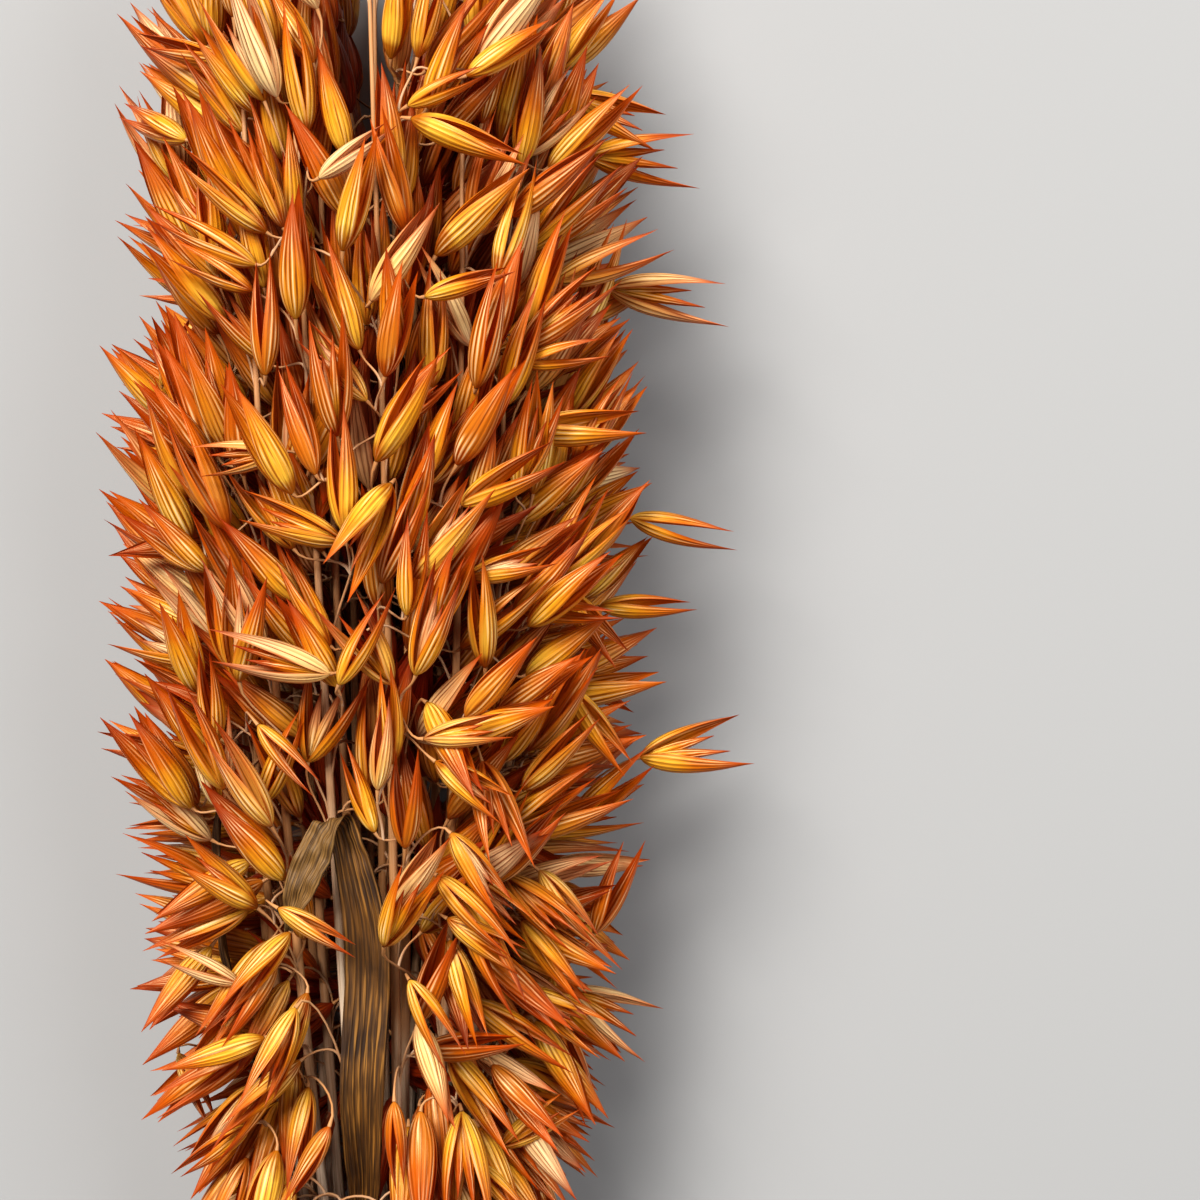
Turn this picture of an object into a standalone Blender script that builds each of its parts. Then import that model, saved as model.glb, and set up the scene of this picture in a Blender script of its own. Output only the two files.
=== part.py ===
"""Dried oats: a bunch of amber-dyed oat stalks, tied with twine and lying on its side.

Heads point along +Y and the stems end at -Y. The surface is z = 0, and the origin is
on it, at the flat underside of the leaf that is pressed under the heads.
"""

import math
import random

import bmesh
import bpy
import numpy as np
from mathutils import Vector

MM = 0.001

# Lengths are in millimetres. Keys are (place along the bunch, value there).
BUTT_Y = -378.0
TIE_Y = -235.0
AXIS_HEIGHT = ((-385, 14.2), (-235, 25.0), (-130, 37.0), (-40, 44.0), (60, 46.0), (190, 47.0))
FAN = ((-385, 1.72), (-300, 1.22), (-235, 1.0), (-190, 1.35), (-125, 2.5), (-60, 3.3),
       (20, 4.0), (100, 4.4), (180, 4.6))
FLOOR_SOFTNESS = ((-385, 0.6), (-235, 1.0), (-130, 7.0), (-60, 9.0), (190, 9.0))
TWIST_PER_MM = math.radians(0.035)

# Rings of stalks at the tie: how many, how far from the middle, angle of the first.
RINGS = ((3, 1.85, 75.0), (9, 5.0, 20.0), (14, 8.15, 97.0))
SWAY = 3.2
TOPS = (72.0, 152.0)
CULM_RADIUS = 1.4
NECK_RADIUS = 0.95
TIP_RADIUS = 0.42
CULM_REST = 1.1
CULM_SIDES = 5
CULM_STATIONS = (-300.0, -242.0, -228.0, -180.0, -130.0, -80.0, -30.0)

# Spikelets: the base envelope is where they hang from, the tip envelope holds them in.
BASE_ENVELOPE = ((-157, 20), (-125, 33), (-60, 40), (0, 43), (60, 43), (110, 39), (150, 26),
                 (168, 12))
TIP_ENVELOPE = ((-182, 28), (-156, 40), (-125, 50), (-60, 58), (0, 63), (60, 63), (125, 59),
                (165, 42), (188, 24))
CLEFT_X = -1.0
CLEFT = ((84, 0.0), (104, 4.5), (125, 8.0), (190, 10.0))
LEAF_WINDOW = (-13.0, 7.0, -130.0, -50.0, 55.0)
LIFT = ((-165, -62), (-125, -46), (-80, -14), (-40, 12), (0, 28), (60, 42), (120, 56),
        (170, 74))
SPIKELETS = 310
SPIKELET_LENGTH = (21.5, 27.0)
LAYERS = ((0.72, 0.84, 1.03), (0.20, 0.55, 0.84), (0.08, 0.2, 0.55))
GLUME_HALF_WIDTH = 3.1
GLUME_HALF_DEPTH = 2.4
BELLY = 0.3
PEDICEL_RADIUS = 0.42
NECK = 0.62
GAP = 0.35
SEED = 41

# Spikelets of the side that the photograph shows: where each hangs from in x and y, the
# way it points from +X, its length, how far its glumes part, and its level from the
# widest line of the bunch (0) to the top of it (1).
SHOWN = (
    (46.3, 98.8, -4, 26, 30, 0.1),
    (51.0, 69.4, -8, 28, 24, 0.0),
    (39.2, 69.4, 17, 27, 14, 0.6),
    (55.8, 18.3, -14, 25, 12, 0.0),
    (48.8, -1.5, 1, 22, 10, 0.2),
    (58.0, -35.2, 10, 26, 34, 0.0),
    (42.3, -88.0, -27, 23, 36, 0.1),
    (38.7, -93.7, -68, 25, 12, 0.4),
    (41.0, 112.0, -22, 25, 22, 0.3),
    (40.7, 2.4, -50, 22, 14, 0.5),
    (35.0, -66.3, -42, 26, 12, 0.5),
    (32.7, 35.4, 4, 27, 16, 0.8),
    (32.7, 96.5, 70, 26, 10, 0.7),
    (20.8, 19.4, 27, 25, 16, 1.0),
    (4.0, 27.9, 60, 26, 10, 1.0),
    (-2.9, 11.7, 160, 23, 18, 1.0),
    (-4.0, 33.0, 94, 26, 20, 1.0),
    (9.2, -50.6, 88, 23, 16, 1.0),
    (3.5, -70.6, 64, 22, 24, 1.0),
    (-18.7, -46.5, 118, 27, 10, 1.0),
    (9.7, -78.5, -58, 21, 16, 1.0),
)

# Leaves: stalk that carries it, where its sheath starts and ends.
LEAF_THICKNESS = 0.7
LEAF_COLUMNS = 5
SHEATH_WRAP = math.radians(112)
SHEATH_CLEARANCE = 0.55

# Twine: three turns side by side, with a knot and two ends.
TWINE_RADIUS = 1.15
TURNS = 3
TIE_SEGMENTS = 20

HUSK = ("oat_husk", (0.80, 0.42, 0.13, 1.0), 0.7)
LEAF = ("dry_leaf", (0.42, 0.30, 0.14, 1.0), 0.75)
TWINE = ("twine", (0.50, 0.38, 0.22, 1.0), 0.9)


def along(keys, y):
    """Value at y of the smooth curve through the keys, level past its ends."""
    if y <= keys[0][0]:
        return float(keys[0][1])
    if y >= keys[-1][0]:
        return float(keys[-1][1])
    last = len(keys) - 1
    k = 0
    while y > keys[k + 1][0]:
        k += 1
    span = keys[k + 1][0] - keys[k][0]
    t = (y - keys[k][0]) / span
    slopes = []
    for i in (k, k + 1):
        low, high = keys[max(i - 1, 0)], keys[min(i + 1, last)]
        slopes.append(span * (high[1] - low[1]) / (high[0] - low[0]))
    square, cube = t * t, t * t * t
    return (
        (2 * cube - 3 * square + 1) * keys[k][1]
        + (cube - 2 * square + t) * slopes[0]
        + (3 * square - 2 * cube) * keys[k + 1][1]
        + (cube - square) * slopes[1]
    )


def pressed(height, y, radius):
    """Height of a point after the surface has pushed up what would sink into it."""
    soft = along(FLOOR_SOFTNESS, y)
    over = (height - radius) / soft
    if over > 20:
        return height
    return radius + soft * math.log1p(math.exp(over))


def make_stalks(rng):
    """Place of every stalk in the tie, how it sways, and where it starts and ends."""
    stalks = []
    for count, radius, first in RINGS:
        for i in range(count):
            stalks.append({
                "radius": radius,
                "angle": math.radians(first + 360.0 * i / count),
                "sway": (rng.uniform(-SWAY, SWAY), rng.uniform(-SWAY, SWAY)),
                "butt": BUTT_Y + rng.uniform(-9, 9),
                "top": rng.uniform(*TOPS),
                "load": 0,
            })
    for stalk in stalks:
        stalk["path"] = culm_path(stalk)
    return stalks


def stalk_point(stalk, y):
    """Centre of a stalk's smooth line at y."""
    reach = stalk["radius"] * along(FAN, y)
    angle = stalk["angle"] + TWIST_PER_MM * (y - TIE_Y)
    drift = min(max((y + 170.0) / 300.0, 0.0), 1.0) ** 1.5
    x = reach * math.cos(angle) + drift * stalk["sway"][0]
    z = along(AXIS_HEIGHT, y) + reach * math.sin(angle) + drift * stalk["sway"][1]
    return Vector((x, y, pressed(z, y, CULM_REST)))


def culm_radius(stalk, y):
    """Radius of a stalk at y: stout at the butt, thin where the panicle ends."""
    neck = -150.0
    if y < neck:
        t = (y - stalk["butt"]) / (neck - stalk["butt"])
        return CULM_RADIUS + (NECK_RADIUS + 0.25 - CULM_RADIUS) * max(t, 0.0) ** 2
    t = (y - neck) / (stalk["top"] - neck)
    return NECK_RADIUS + 0.25 + (TIP_RADIUS - NECK_RADIUS - 0.25) * t


def culm_path(stalk):
    """Stations of a stalk from its cut end to its tip, as (centre, radius)."""
    last, top = CULM_STATIONS[-1], stalk["top"]
    places = [stalk["butt"], *CULM_STATIONS]
    places += [last + (top - last) * k / 3 for k in (1, 2, 3)]
    return [(stalk_point(stalk, y), culm_radius(stalk, y)) for y in places]


def culm_centre(stalk, y):
    """Centre of a stalk at y, as it is modelled: straight from station to station."""
    path = stalk["path"]
    for (low, _), (high, _) in zip(path, path[1:]):
        if y <= high.y:
            break
    return low.lerp(high, min(max((y - low.y) / (high.y - low.y), 0.0), 1.0))


def across(direction, hint):
    """Unit vector across a direction, as near to the hint as can be."""
    side = hint - direction * hint.dot(direction)
    if side.length < 1e-4:
        side = Vector((0.31, 0.17, 0.93))
        side = side - direction * side.dot(direction)
    return side.normalized()


class Room:
    """What stands where, as round-ended rods, so that stalks stay clear of each other."""

    def __init__(self):
        self.start = np.zeros((0, 3))
        self.end = np.zeros((0, 3))
        self.radius = np.zeros(0)
        self.owner = np.zeros(0, int)
        self.glume = np.zeros(0, bool)

    def add(self, rods, owner):
        """Add rods (start, end, radius, is a glume) of one owner."""
        self.start = np.vstack([self.start, [tuple(rod[0]) for rod in rods]])
        self.end = np.vstack([self.end, [tuple(rod[1]) for rod in rods]])
        self.radius = np.append(self.radius, [rod[2] for rod in rods])
        self.owner = np.append(self.owner, [owner] * len(rods))
        self.glume = np.append(self.glume, [rod[3] for rod in rods])

    def free(self, rods, owner, gap, shrink=1.0):
        """Whether the rods of an owner stay clear of everything that isn't its own."""
        corners = np.array([[tuple(rod[0]), tuple(rod[1])] for rod in rods]).reshape(-1, 3)
        low, high = corners.min(0) - 7.0, corners.max(0) + 7.0
        near = ((np.maximum(self.start, self.end) > low).all(1)
                & (np.minimum(self.start, self.end) < high).all(1))
        start, end = self.start[near], self.end[near]
        radius, owners, glume = self.radius[near], self.owner[near], self.glume[near]
        if not len(start):
            return True
        way = end - start
        length = np.maximum((way * way).sum(1), 1e-9)
        for a, b, thick, is_glume in rods:
            p = np.array(tuple(a))
            d = np.array(tuple(b)) - p
            own = max(float(d @ d), 1e-9)
            apart = p - start
            f = (way * apart).sum(1)
            c = apart @ d
            mixed = way @ d
            area = own * length - mixed * mixed
            s = np.clip(np.where(area > 1e-9, (mixed * f - c * length)
                                 / np.maximum(area, 1e-9), 0.0), 0.0, 1.0)
            t = np.clip((mixed * s + f) / length, 0.0, 1.0)
            s = np.clip((mixed * t - c) / own, 0.0, 1.0)
            between = apart + s[:, None] * d - t[:, None] * way
            distance = np.sqrt((between * between).sum(1))
            need = (radius + thick) * shrink + gap
            same = owners == owner
            if is_glume:
                need = np.where(same & glume, (radius + thick) * 0.6, need)
                counted = ~same | glume
            else:
                counted = ~same
            if (counted & (distance < need)).any():
                return False
        return True


def bezier(points, t):
    """Point of a cubic curve."""
    a, b, c, d = points
    s = 1.0 - t
    return a * s ** 3 + b * (3 * s * s * t) + c * (3 * s * t * t) + d * t ** 3


def hang(stalk, index, base, heading, length, spread, roll, rise):
    """A spikelet on its pedicel: from the stalk, up and over to the base, then outward."""
    foot_y = min(max(base.y - rise, -158.0), stalk["top"] - 5.0)
    foot = culm_centre(stalk, foot_y)
    span = (base - foot).length
    leave = foot + Vector((0, 1, 0)) * span * 0.42 + (base - foot) * 0.12
    arrive = base - heading * (span * 0.3 + 2.0)
    arrive.z = max(arrive.z, 1.0)
    curve = (foot, leave, arrive, base)
    steps = 2 if heading.y > 0.1 else 3
    path = [bezier(curve, k / steps) for k in range(steps + 1)]
    first = across(heading, Vector((0.13, 0.21, 0.97)))
    second = heading.cross(first)
    side = first * math.cos(roll) + second * math.sin(roll)
    belly = base + heading * (length * BELLY)
    rods = []
    for k in range(steps):
        start = path[k]
        if k == 0:
            start = path[0].lerp(path[1], 0.25)
        rods.append((start, path[k + 1], PEDICEL_RADIUS, False))
    rods.append((base, belly, 2.2, True))
    tips = []
    for sign in (1.0, -1.0):
        turn = 0.5 * math.radians(spread)
        way = heading * math.cos(turn) + side * (sign * math.sin(turn))
        tip = base + way * length * (1.0 if sign > 0 else 0.93)
        middle = belly.lerp(tip, 0.5) + side * (sign * 0.7)
        rods.append((belly + side * sign * 0.9, middle, 1.9, True))
        rods.append((middle, tip, 0.9, True))
        tips.append(tip)
    return {"stalk": index, "path": path, "base": base, "heading": heading, "side": side,
            "length": length, "spread": spread, "tips": tips, "rods": rods}


def on_floor(base, heading, length, y):
    """Base and heading after the surface has pushed the spikelet up, length kept."""
    tip = base + heading * length
    base = Vector((base.x, base.y, pressed(base.z, y, 2.4)))
    tip = Vector((tip.x, tip.y, pressed(tip.z, y, 0.7)))
    heading = (tip - base).normalized()
    low = base.z + heading.z * length
    if low < 0.6:
        heading.z += (0.6 - low) / length
        heading.normalize()
    return base, heading


def inside(point, envelope, slack):
    """Whether a point is within an envelope round the bunch's axis."""
    if not envelope[0][0] <= point.y <= envelope[-1][0]:
        return False
    rise = point.z - along(AXIS_HEIGHT, point.y)
    return math.hypot(point.x, rise) <= along(envelope, point.y) + slack


def in_cleft(point):
    """Whether a point is in the cleft that parts the heads' upper end."""
    return abs(point.x - CLEFT_X) < along(CLEFT, point.y)


def over_leaf(point):
    """Whether a point is over the folded leaf in front, which the heads leave in sight."""
    left, right, low, high, above = LEAF_WINDOW
    return point.z > above and left < point.x < right and low < point.y < high


def flow(y, angle):
    """How neighbours lean together: round the bunch, along it in degrees, and outward."""
    round_it = 0.36 * math.sin(0.19 * y + 3 * angle) + 0.22 * math.sin(0.071 * y - 2 * angle)
    along_it = 15 * math.sin(0.15 * y - 4 * angle) + 8 * math.sin(0.37 * y + 2 * angle)
    outward = 0.06 * math.sin(0.23 * y + 2 * angle) + 0.05 * math.sin(0.11 * y - 3 * angle)
    return round_it, along_it, 1.0 + outward


def laid(heading, rng):
    """Heading turned along the bunch where it would stand straight up from it."""
    away = max(heading.z, 0.0)
    ahead = 1.0 if heading.y + rng.gauss(0.1, 0.35) > 0 else -1.0
    turned = Vector((heading.x + rng.gauss(0, 0.4) * away, heading.y + 0.85 * ahead * away,
                     heading.z * (1.0 - 0.68 * away)))
    return turned.normalized()


def try_hang(room, stalks, rng, base, heading, length, spread, roll, gap, shrink, reach):
    """Hang a spikelet from the nearest stalk that leaves it clear, or give None."""
    def apart(i):
        y = min(max(base.y - 18.0, -150.0), stalks[i]["top"])
        centre = stalk_point(stalks[i], y)
        far = math.hypot(centre.x - base.x, centre.z - base.z)
        return far + abs(y - base.y + 18.0) * 0.6 + stalks[i]["load"] * 0.9

    near = sorted(range(len(stalks)), key=apart)[:5]
    rises = [rng.uniform(6, 30) for _ in range(3)]
    for index in near:
        if apart(index) > reach:
            break
        for rise in rises:
            made = hang(stalks[index], index, base, heading, length, spread, roll,
                        rise + 0.45 * apart(index))
            if room.free(made["rods"], index, gap, shrink):
                stalks[index]["load"] += 1
                return made
    return None


def shown_spikelets(room, stalks, rng):
    """The spikelets named in SHOWN, each at its place on the side that is seen."""
    made = []
    for x, y, turn, length, spread, level in SHOWN:
        wide = max(along(BASE_ENVELOPE, y), abs(x) + 0.1)
        rise = level * math.sqrt(wide * wide - x * x)
        base = Vector((x, y, along(AXIS_HEIGHT, y) + rise))
        lean = 0.12 + 0.3 * level * rng.random()
        heading = Vector((math.cos(math.radians(turn)), math.sin(math.radians(turn)), lean))
        heading.normalize()
        for _ in range(14):
            spikelet = try_hang(room, stalks, rng, base, heading, length, spread,
                                math.radians(90) + rng.uniform(-0.5, 0.5), GAP, 1.0, 60.0)
            if spikelet:
                room.add(spikelet["rods"], spikelet["stalk"])
                made.append(spikelet)
                break
            base = base + Vector((rng.uniform(-2, 2), rng.uniform(-2, 2), rng.uniform(-2, 3)))
    return made


def top_spikelets(room, stalks, rng):
    """One spikelet at the end of every stalk."""
    made = []
    for index, stalk in enumerate(stalks):
        top = stalk_point(stalk, stalk["top"])
        for _ in range(30):
            base = top + Vector((rng.uniform(-7, 7), rng.uniform(4, 12), rng.uniform(-7, 7)))
            out = Vector((base.x, 0, base.z - along(AXIS_HEIGHT, base.y))) * 0.02
            heading = Vector((rng.uniform(-0.5, 0.5), 0.9, rng.uniform(-0.5, 0.5))) + out
            length = rng.uniform(*SPIKELET_LENGTH)
            base, heading = on_floor(base, heading.normalized(), length, base.y)
            spikelet = hang(stalk, index, base, heading, length, rng.choice((8, 16, 28)),
                            rng.uniform(0, 6.28), 14.0)
            if room.free(spikelet["rods"], index, GAP):
                room.add(spikelet["rods"], index)
                made.append(spikelet)
                break
    return made


def rule_spikelets(room, stalks, rng, wanted, first, gap, shrink):
    """Spikelets spread evenly along and round the head, in three layers."""
    made = []
    low, high = BASE_ENVELOPE[0][0] + 4.0, BASE_ENVELOPE[-1][0] - 4.0
    widest = max(key[1] for key in BASE_ENVELOPE)
    k = first
    while len(made) < wanted and k < first + 12 * wanted:
        k += 1
        y = low + (high - low) * ((k * 0.7548776662) % 1.0)
        angle = 2 * math.pi * ((k * 0.5698402910) % 1.0)
        pick, thin = rng.random(), rng.random()
        if thin > 0.35 + 0.65 * along(BASE_ENVELOPE, y) / widest:
            continue
        for share, inner, outer in LAYERS:
            if pick < share:
                break
            pick -= share
        spread = rng.choice((8, 8, 8, 12, 18, 26, 36))
        round_it, along_it, outward = flow(y, angle)
        for _ in range(4):
            reach = along(BASE_ENVELOPE, y) * rng.uniform(inner, outer) * outward
            turn = angle + round_it + rng.gauss(0, 0.24)
            lift = math.radians(along(LIFT, y) + along_it + rng.gauss(0, 10))
            base = Vector((reach * math.cos(angle), y + rng.uniform(-4, 4),
                           along(AXIS_HEIGHT, y) + reach * math.sin(angle)))
            heading = laid(Vector((math.cos(lift) * math.cos(turn), math.sin(lift),
                                   math.cos(lift) * math.sin(turn))), rng)
            length = rng.uniform(*SPIKELET_LENGTH)
            tip = base + heading * length
            if not inside(tip, TIP_ENVELOPE, 3.0) or in_cleft(base) or in_cleft(tip):
                continue
            if over_leaf(base) or over_leaf(tip) or over_leaf(base.lerp(tip, 0.5)):
                continue
            base, heading = on_floor(base, heading, length, y)
            spikelet = try_hang(room, stalks, rng, base, heading, length, spread,
                                rng.uniform(0, 6.28), gap, shrink, 46.0)
            if spikelet:
                room.add(spikelet["rods"], spikelet["stalk"])
                made.append(spikelet)
                break
    return made


def leaf_line(points, steps):
    """Smooth line through points, with the given number of steps between each two."""
    line = []
    for k in range(len(points) - 1):
        before = points[max(k - 1, 0)]
        a, b = points[k], points[k + 1]
        after = points[min(k + 2, len(points) - 1)]
        for i in range(steps):
            t = i / steps
            line.append(0.5 * (2 * a + (b - before) * t
                               + (2 * before - 5 * a + 4 * b - after) * t * t
                               + (3 * a - before - 3 * b + after) * t ** 3))
    line.append(points[-1])
    return line


def sheath(stalk, outward, start, end, rows):
    """Rows of a leaf's sheath: a band bent round its stalk."""
    made = []
    for k in range(rows):
        y = start + (end - start) * k / (rows - 1)
        centre = culm_centre(stalk, y)
        way = (culm_centre(stalk, y + 1) - centre).normalized()
        out = across(way, outward)
        side = way.cross(out)
        round_it = culm_radius(stalk, y) + SHEATH_CLEARANCE + LEAF_THICKNESS / 2
        wrap = SHEATH_WRAP * (0.86 + 0.14 * k / (rows - 1))
        row = []
        for c in range(LEAF_COLUMNS):
            turn = wrap * (2 * c / (LEAF_COLUMNS - 1) - 1)
            normal = out * math.cos(turn) + side * math.sin(turn)
            row.append((centre + normal * round_it, normal))
        made.append(row)
    return made


def blade(line, sides, widths, keel):
    """Rows of a leaf's blade along a line, folded a little along its middle."""
    made = []
    for k, centre in enumerate(line):
        before, after = line[max(k - 1, 0)], line[min(k + 1, len(line) - 1)]
        way = (after - before).normalized()
        side = across(way, sides[k])
        out = side.cross(way)
        row = []
        for c in range(LEAF_COLUMNS):
            u = 2 * c / (LEAF_COLUMNS - 1) - 1
            fold = keel[k] * (0.5 - abs(u))
            point = centre + side * (u * widths[k]) - out * (widths[k] * fold)
            normal = (out - side * (keel[k] * (1 if u > 0 else -1 if u < 0 else 0))).normalized()
            row.append((point, normal))
        made.append(row)
    return made


def flag_leaf(stalks):
    """The folded leaf in front: up beside its stalk, over, and back down to the left."""
    stalk = stalks[12]
    rows = sheath(stalk, Vector((0, 0, 1)), -163.0, -142.0, 3)
    lead = stalk_point(stalk, -128.0)
    high = stalk_point(stalk, -45.0).z + 4.5
    spine = [
        lead + Vector((2.0, 0.0, 3.4)),
        Vector((-1.2, -104.0, 0.6 * high + 0.4 * lead.z + 2.5)),
        Vector((0.2, -80.0, high - 3.6)),
        Vector((-0.6, -64.0, high - 0.6)),
        Vector((-4.2, -48.0, high + 0.6)),
    ]
    up = leaf_line(spine, 2)
    crest = up[-1]
    bend = [crest + Vector((-0.9, 1.7, 0.9)), crest + Vector((-2.2, 2.2, 2.8)),
            crest + Vector((-3.4, 0.9, 4.5))]
    back = [crest + Vector((-5.0, -3.0, 5.0)), crest + Vector((-7.4, -8.5, 5.2)),
            crest + Vector((-9.6, -14.5, 4.6)), crest + Vector((-11.2, -20.5, 2.6))]
    line = up + bend + back
    right = Vector((1, 0, 0))
    sides = []
    for k in range(len(line)):
        lean = Vector((0.86, 0.42, 0.0)) if k >= len(up) - 1 else right
        if k >= len(up) + len(bend):
            lean = Vector((0.82, -0.5, 0.12))
        sides.append(lean)
    widths = [3.2, 4.0, 4.6, 4.8, 4.8, 4.7, 4.4, 3.7, 3.0, 2.9, 3.0, 3.2, 3.5, 3.6, 2.6, 0.7]
    keel = [0.35, 0.25, 0.2, 0.18, 0.16, 0.16, 0.2, 0.24, 0.2, 0.05, 0.0, -0.05, -0.15, -0.2,
            -0.2, -0.1]
    return rows + blade(line, sides, widths, keel)


def strip_leaf(stalks):
    """The narrow leaf on the left, seen nearly edge-on."""
    stalk = stalks[15]
    out = (stalk_point(stalk, -120.0) - Vector((0, -120.0, along(AXIS_HEIGHT, -120.0))))
    rows = sheath(stalk, out, -160.0, -141.0, 3)
    lead = stalk_point(stalk, -126.0)
    spine = [lead + Vector((-3.9, 0, 2.2)), lead + Vector((-7.5, 22, 8.0)),
             Vector((-33.0, -78.0, lead.z + 15.0)), Vector((-34.5, -58.0, lead.z + 17.0)),
             Vector((-34.0, -42.0, lead.z + 16.0))]
    line = leaf_line(spine, 2)
    count = len(line)
    sides = [Vector((0.35, 0.0, 0.94)) for _ in line]
    widths = [2.4 + 1.0 * math.sin(math.pi * k / (count - 1)) for k in range(count)]
    widths[-1] = 0.6
    keel = [0.3] * count
    return rows + blade(line, sides, widths, keel)


def pressed_leaf(stalks):
    """The leaf under the heads, laid flat on the surface by the bunch's weight."""
    stalk = stalks[19]
    down = Vector((0, 0, -1))
    rows = sheath(stalk, down, -160.0, -141.0, 3)
    lead = stalk_point(stalk, -128.0)
    level = LEAF_THICKNESS / 2
    spine = [lead + Vector((0.5, 0, -2.6)), Vector((0.8 * lead.x, -104.0, lead.z * 0.42)),
             Vector((0.5 * lead.x, -82.0, level + 1.2))]
    line = leaf_line(spine, 2)
    flat = [Vector((0.3 * lead.x, -64.0, level)), Vector((0.0, -40.0, level)),
            Vector((0.0, -12.0, level)), Vector((0.0, 12.0, level)),
            Vector((2.0, 40.0, level)), Vector((6.5, 66.0, level))]
    line = line + flat
    count = len(line)
    sides = [Vector((-1, 0, 0)) for _ in line]
    widths = [3.0, 3.8, 4.6, 5.2, 5.4, 5.4, 5.2, 5.0, 4.6, 3.4, 0.8]
    keel = [0.25, 0.2, 0.12, 0.05] + [0.0] * (count - 4)
    rows = rows + blade(line, sides, widths, keel)
    for row in rows[-len(flat):]:
        for c, (point, _) in enumerate(row):
            row[c] = (Vector((point.x, point.y, level)), down)
    return rows


def leaf_rods(rows):
    """A leaf as rods, for keeping spikelets clear of it."""
    rods = []
    for before, after in zip(rows, rows[1:]):
        for c in range(LEAF_COLUMNS):
            rods.append((before[c][0], after[c][0], 0.9, False))
            if c:
                rods.append((before[c - 1][0].lerp(before[c][0], 0.5),
                             after[c - 1][0].lerp(after[c][0], 0.5), 0.9, False))
    return rods


def new_object(name, vertices, faces, finish, smooth):
    """Mesh object from millimetres, closed, facing out and dressed."""
    mesh = bpy.data.meshes.new(name)
    mesh.from_pydata([[c * MM for c in v] for v in vertices], [], faces)
    made = bmesh.new()
    made.from_mesh(mesh)
    bmesh.ops.recalc_face_normals(made, faces=made.faces)
    made.to_mesh(mesh)
    made.free()
    for polygon in mesh.polygons:
        polygon.use_smooth = smooth
    built = bpy.data.objects.new(name, mesh)
    built.data.materials.append(material(*finish))
    bpy.context.scene.collection.objects.link(built)
    return built


def material(name, colour, roughness):
    """Plain finish, made once."""
    known = bpy.data.materials.get(name)
    if known:
        return known
    made = bpy.data.materials.new(name)
    made.use_nodes = True
    shader = made.node_tree.nodes["Principled BSDF"]
    shader.inputs["Base Color"].default_value = colour
    shader.inputs["Roughness"].default_value = roughness
    shader.inputs["Metallic"].default_value = 0.0
    return made


def ring_faces(count, rings):
    """Faces between rings of the same count, with both ends left open."""
    faces = []
    for r in range(rings - 1):
        for i in range(count):
            j = (i + 1) % count
            faces.append((r * count + i, r * count + j, (r + 1) * count + j,
                          (r + 1) * count + i))
    return faces


def floored(point):
    """A point, or where it would touch the surface if it is below it."""
    return (point[0], point[1], max(point[2], 0.0))


def culm_mesh(stalk):
    """Vertices and faces of a stalk without its spikelets."""
    path = stalk["path"]
    vertices, faces = [], []
    for centre, radius in path:
        for i in range(CULM_SIDES):
            turn = 2 * math.pi * i / CULM_SIDES - math.pi / 2 + math.pi / CULM_SIDES
            vertices.append(floored((centre.x + radius * math.cos(turn), centre.y,
                                     centre.z + radius * math.sin(turn))))
    faces = ring_faces(CULM_SIDES, len(path))
    faces.append(tuple(range(CULM_SIDES)))
    end = (len(path) - 1) * CULM_SIDES
    faces.append(tuple(range(end, end + CULM_SIDES)))
    return vertices, faces


def spikelet_mesh(spikelet):
    """Vertices and faces of one spikelet with its pedicel."""
    path, heading, side = spikelet["path"], spikelet["heading"], spikelet["side"]
    ways = []
    for k in range(len(path) - 1):
        ways.append((path[k + 1] - path[k]).normalized())
    ways.append(heading)
    hint = heading.cross(side)
    frames = []
    for way in reversed(ways):
        hint = across(way, hint)
        frames.append((hint, way.cross(hint)))
    frames.reverse()
    vertices = []
    for k, centre in enumerate(path):
        radius = NECK if k == len(path) - 1 else PEDICEL_RADIUS
        first, second = frames[k]
        for i in range(3):
            turn = 2 * math.pi * i / 3
            vertices.append(centre + (first * math.cos(turn) + second * math.sin(turn)) * radius)
    faces = ring_faces(3, len(path))
    faces.append((0, 1, 2))
    neck = 3 * (len(path) - 1)
    front = frames[-1][0]
    belly = spikelet["base"] + heading * (spikelet["length"] * BELLY)
    wide = GLUME_HALF_WIDTH * spikelet["length"] / 24.0
    deep = GLUME_HALF_DEPTH * spikelet["length"] / 24.0
    if spikelet["spread"] < 10:
        wide *= 0.86
    b = len(vertices)
    vertices += [belly - side * wide, belly + front * deep, belly + side * wide,
                 belly - front * deep]
    n0, n1, n2 = neck, neck + 1, neck + 2
    cross = frames[-1][1]
    if cross.dot(side) < 0:
        n1, n2 = n2, n1
    faces += [(n2, b, n0), (n0, b, b + 1), (n0, b + 1, b + 2), (n0, b + 2, n1),
              (n1, b + 2, b + 3), (n1, b + 3, n2), (n2, b + 3, b)]
    right, left = spikelet["tips"]
    if spikelet["spread"] < 10:
        vertices.append(spikelet["base"] + heading * spikelet["length"])
        for i in range(4):
            faces.append((b + i, b + (i + 1) % 4, b + 4))
    else:
        vertices += [left, right]
        faces += [(b, b + 1, b + 4), (b + 1, b + 3, b + 4), (b + 3, b, b + 4),
                  (b + 2, b + 3, b + 5), (b + 3, b + 1, b + 5), (b + 1, b + 2, b + 5)]
    return [floored(v) for v in vertices], faces


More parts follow.
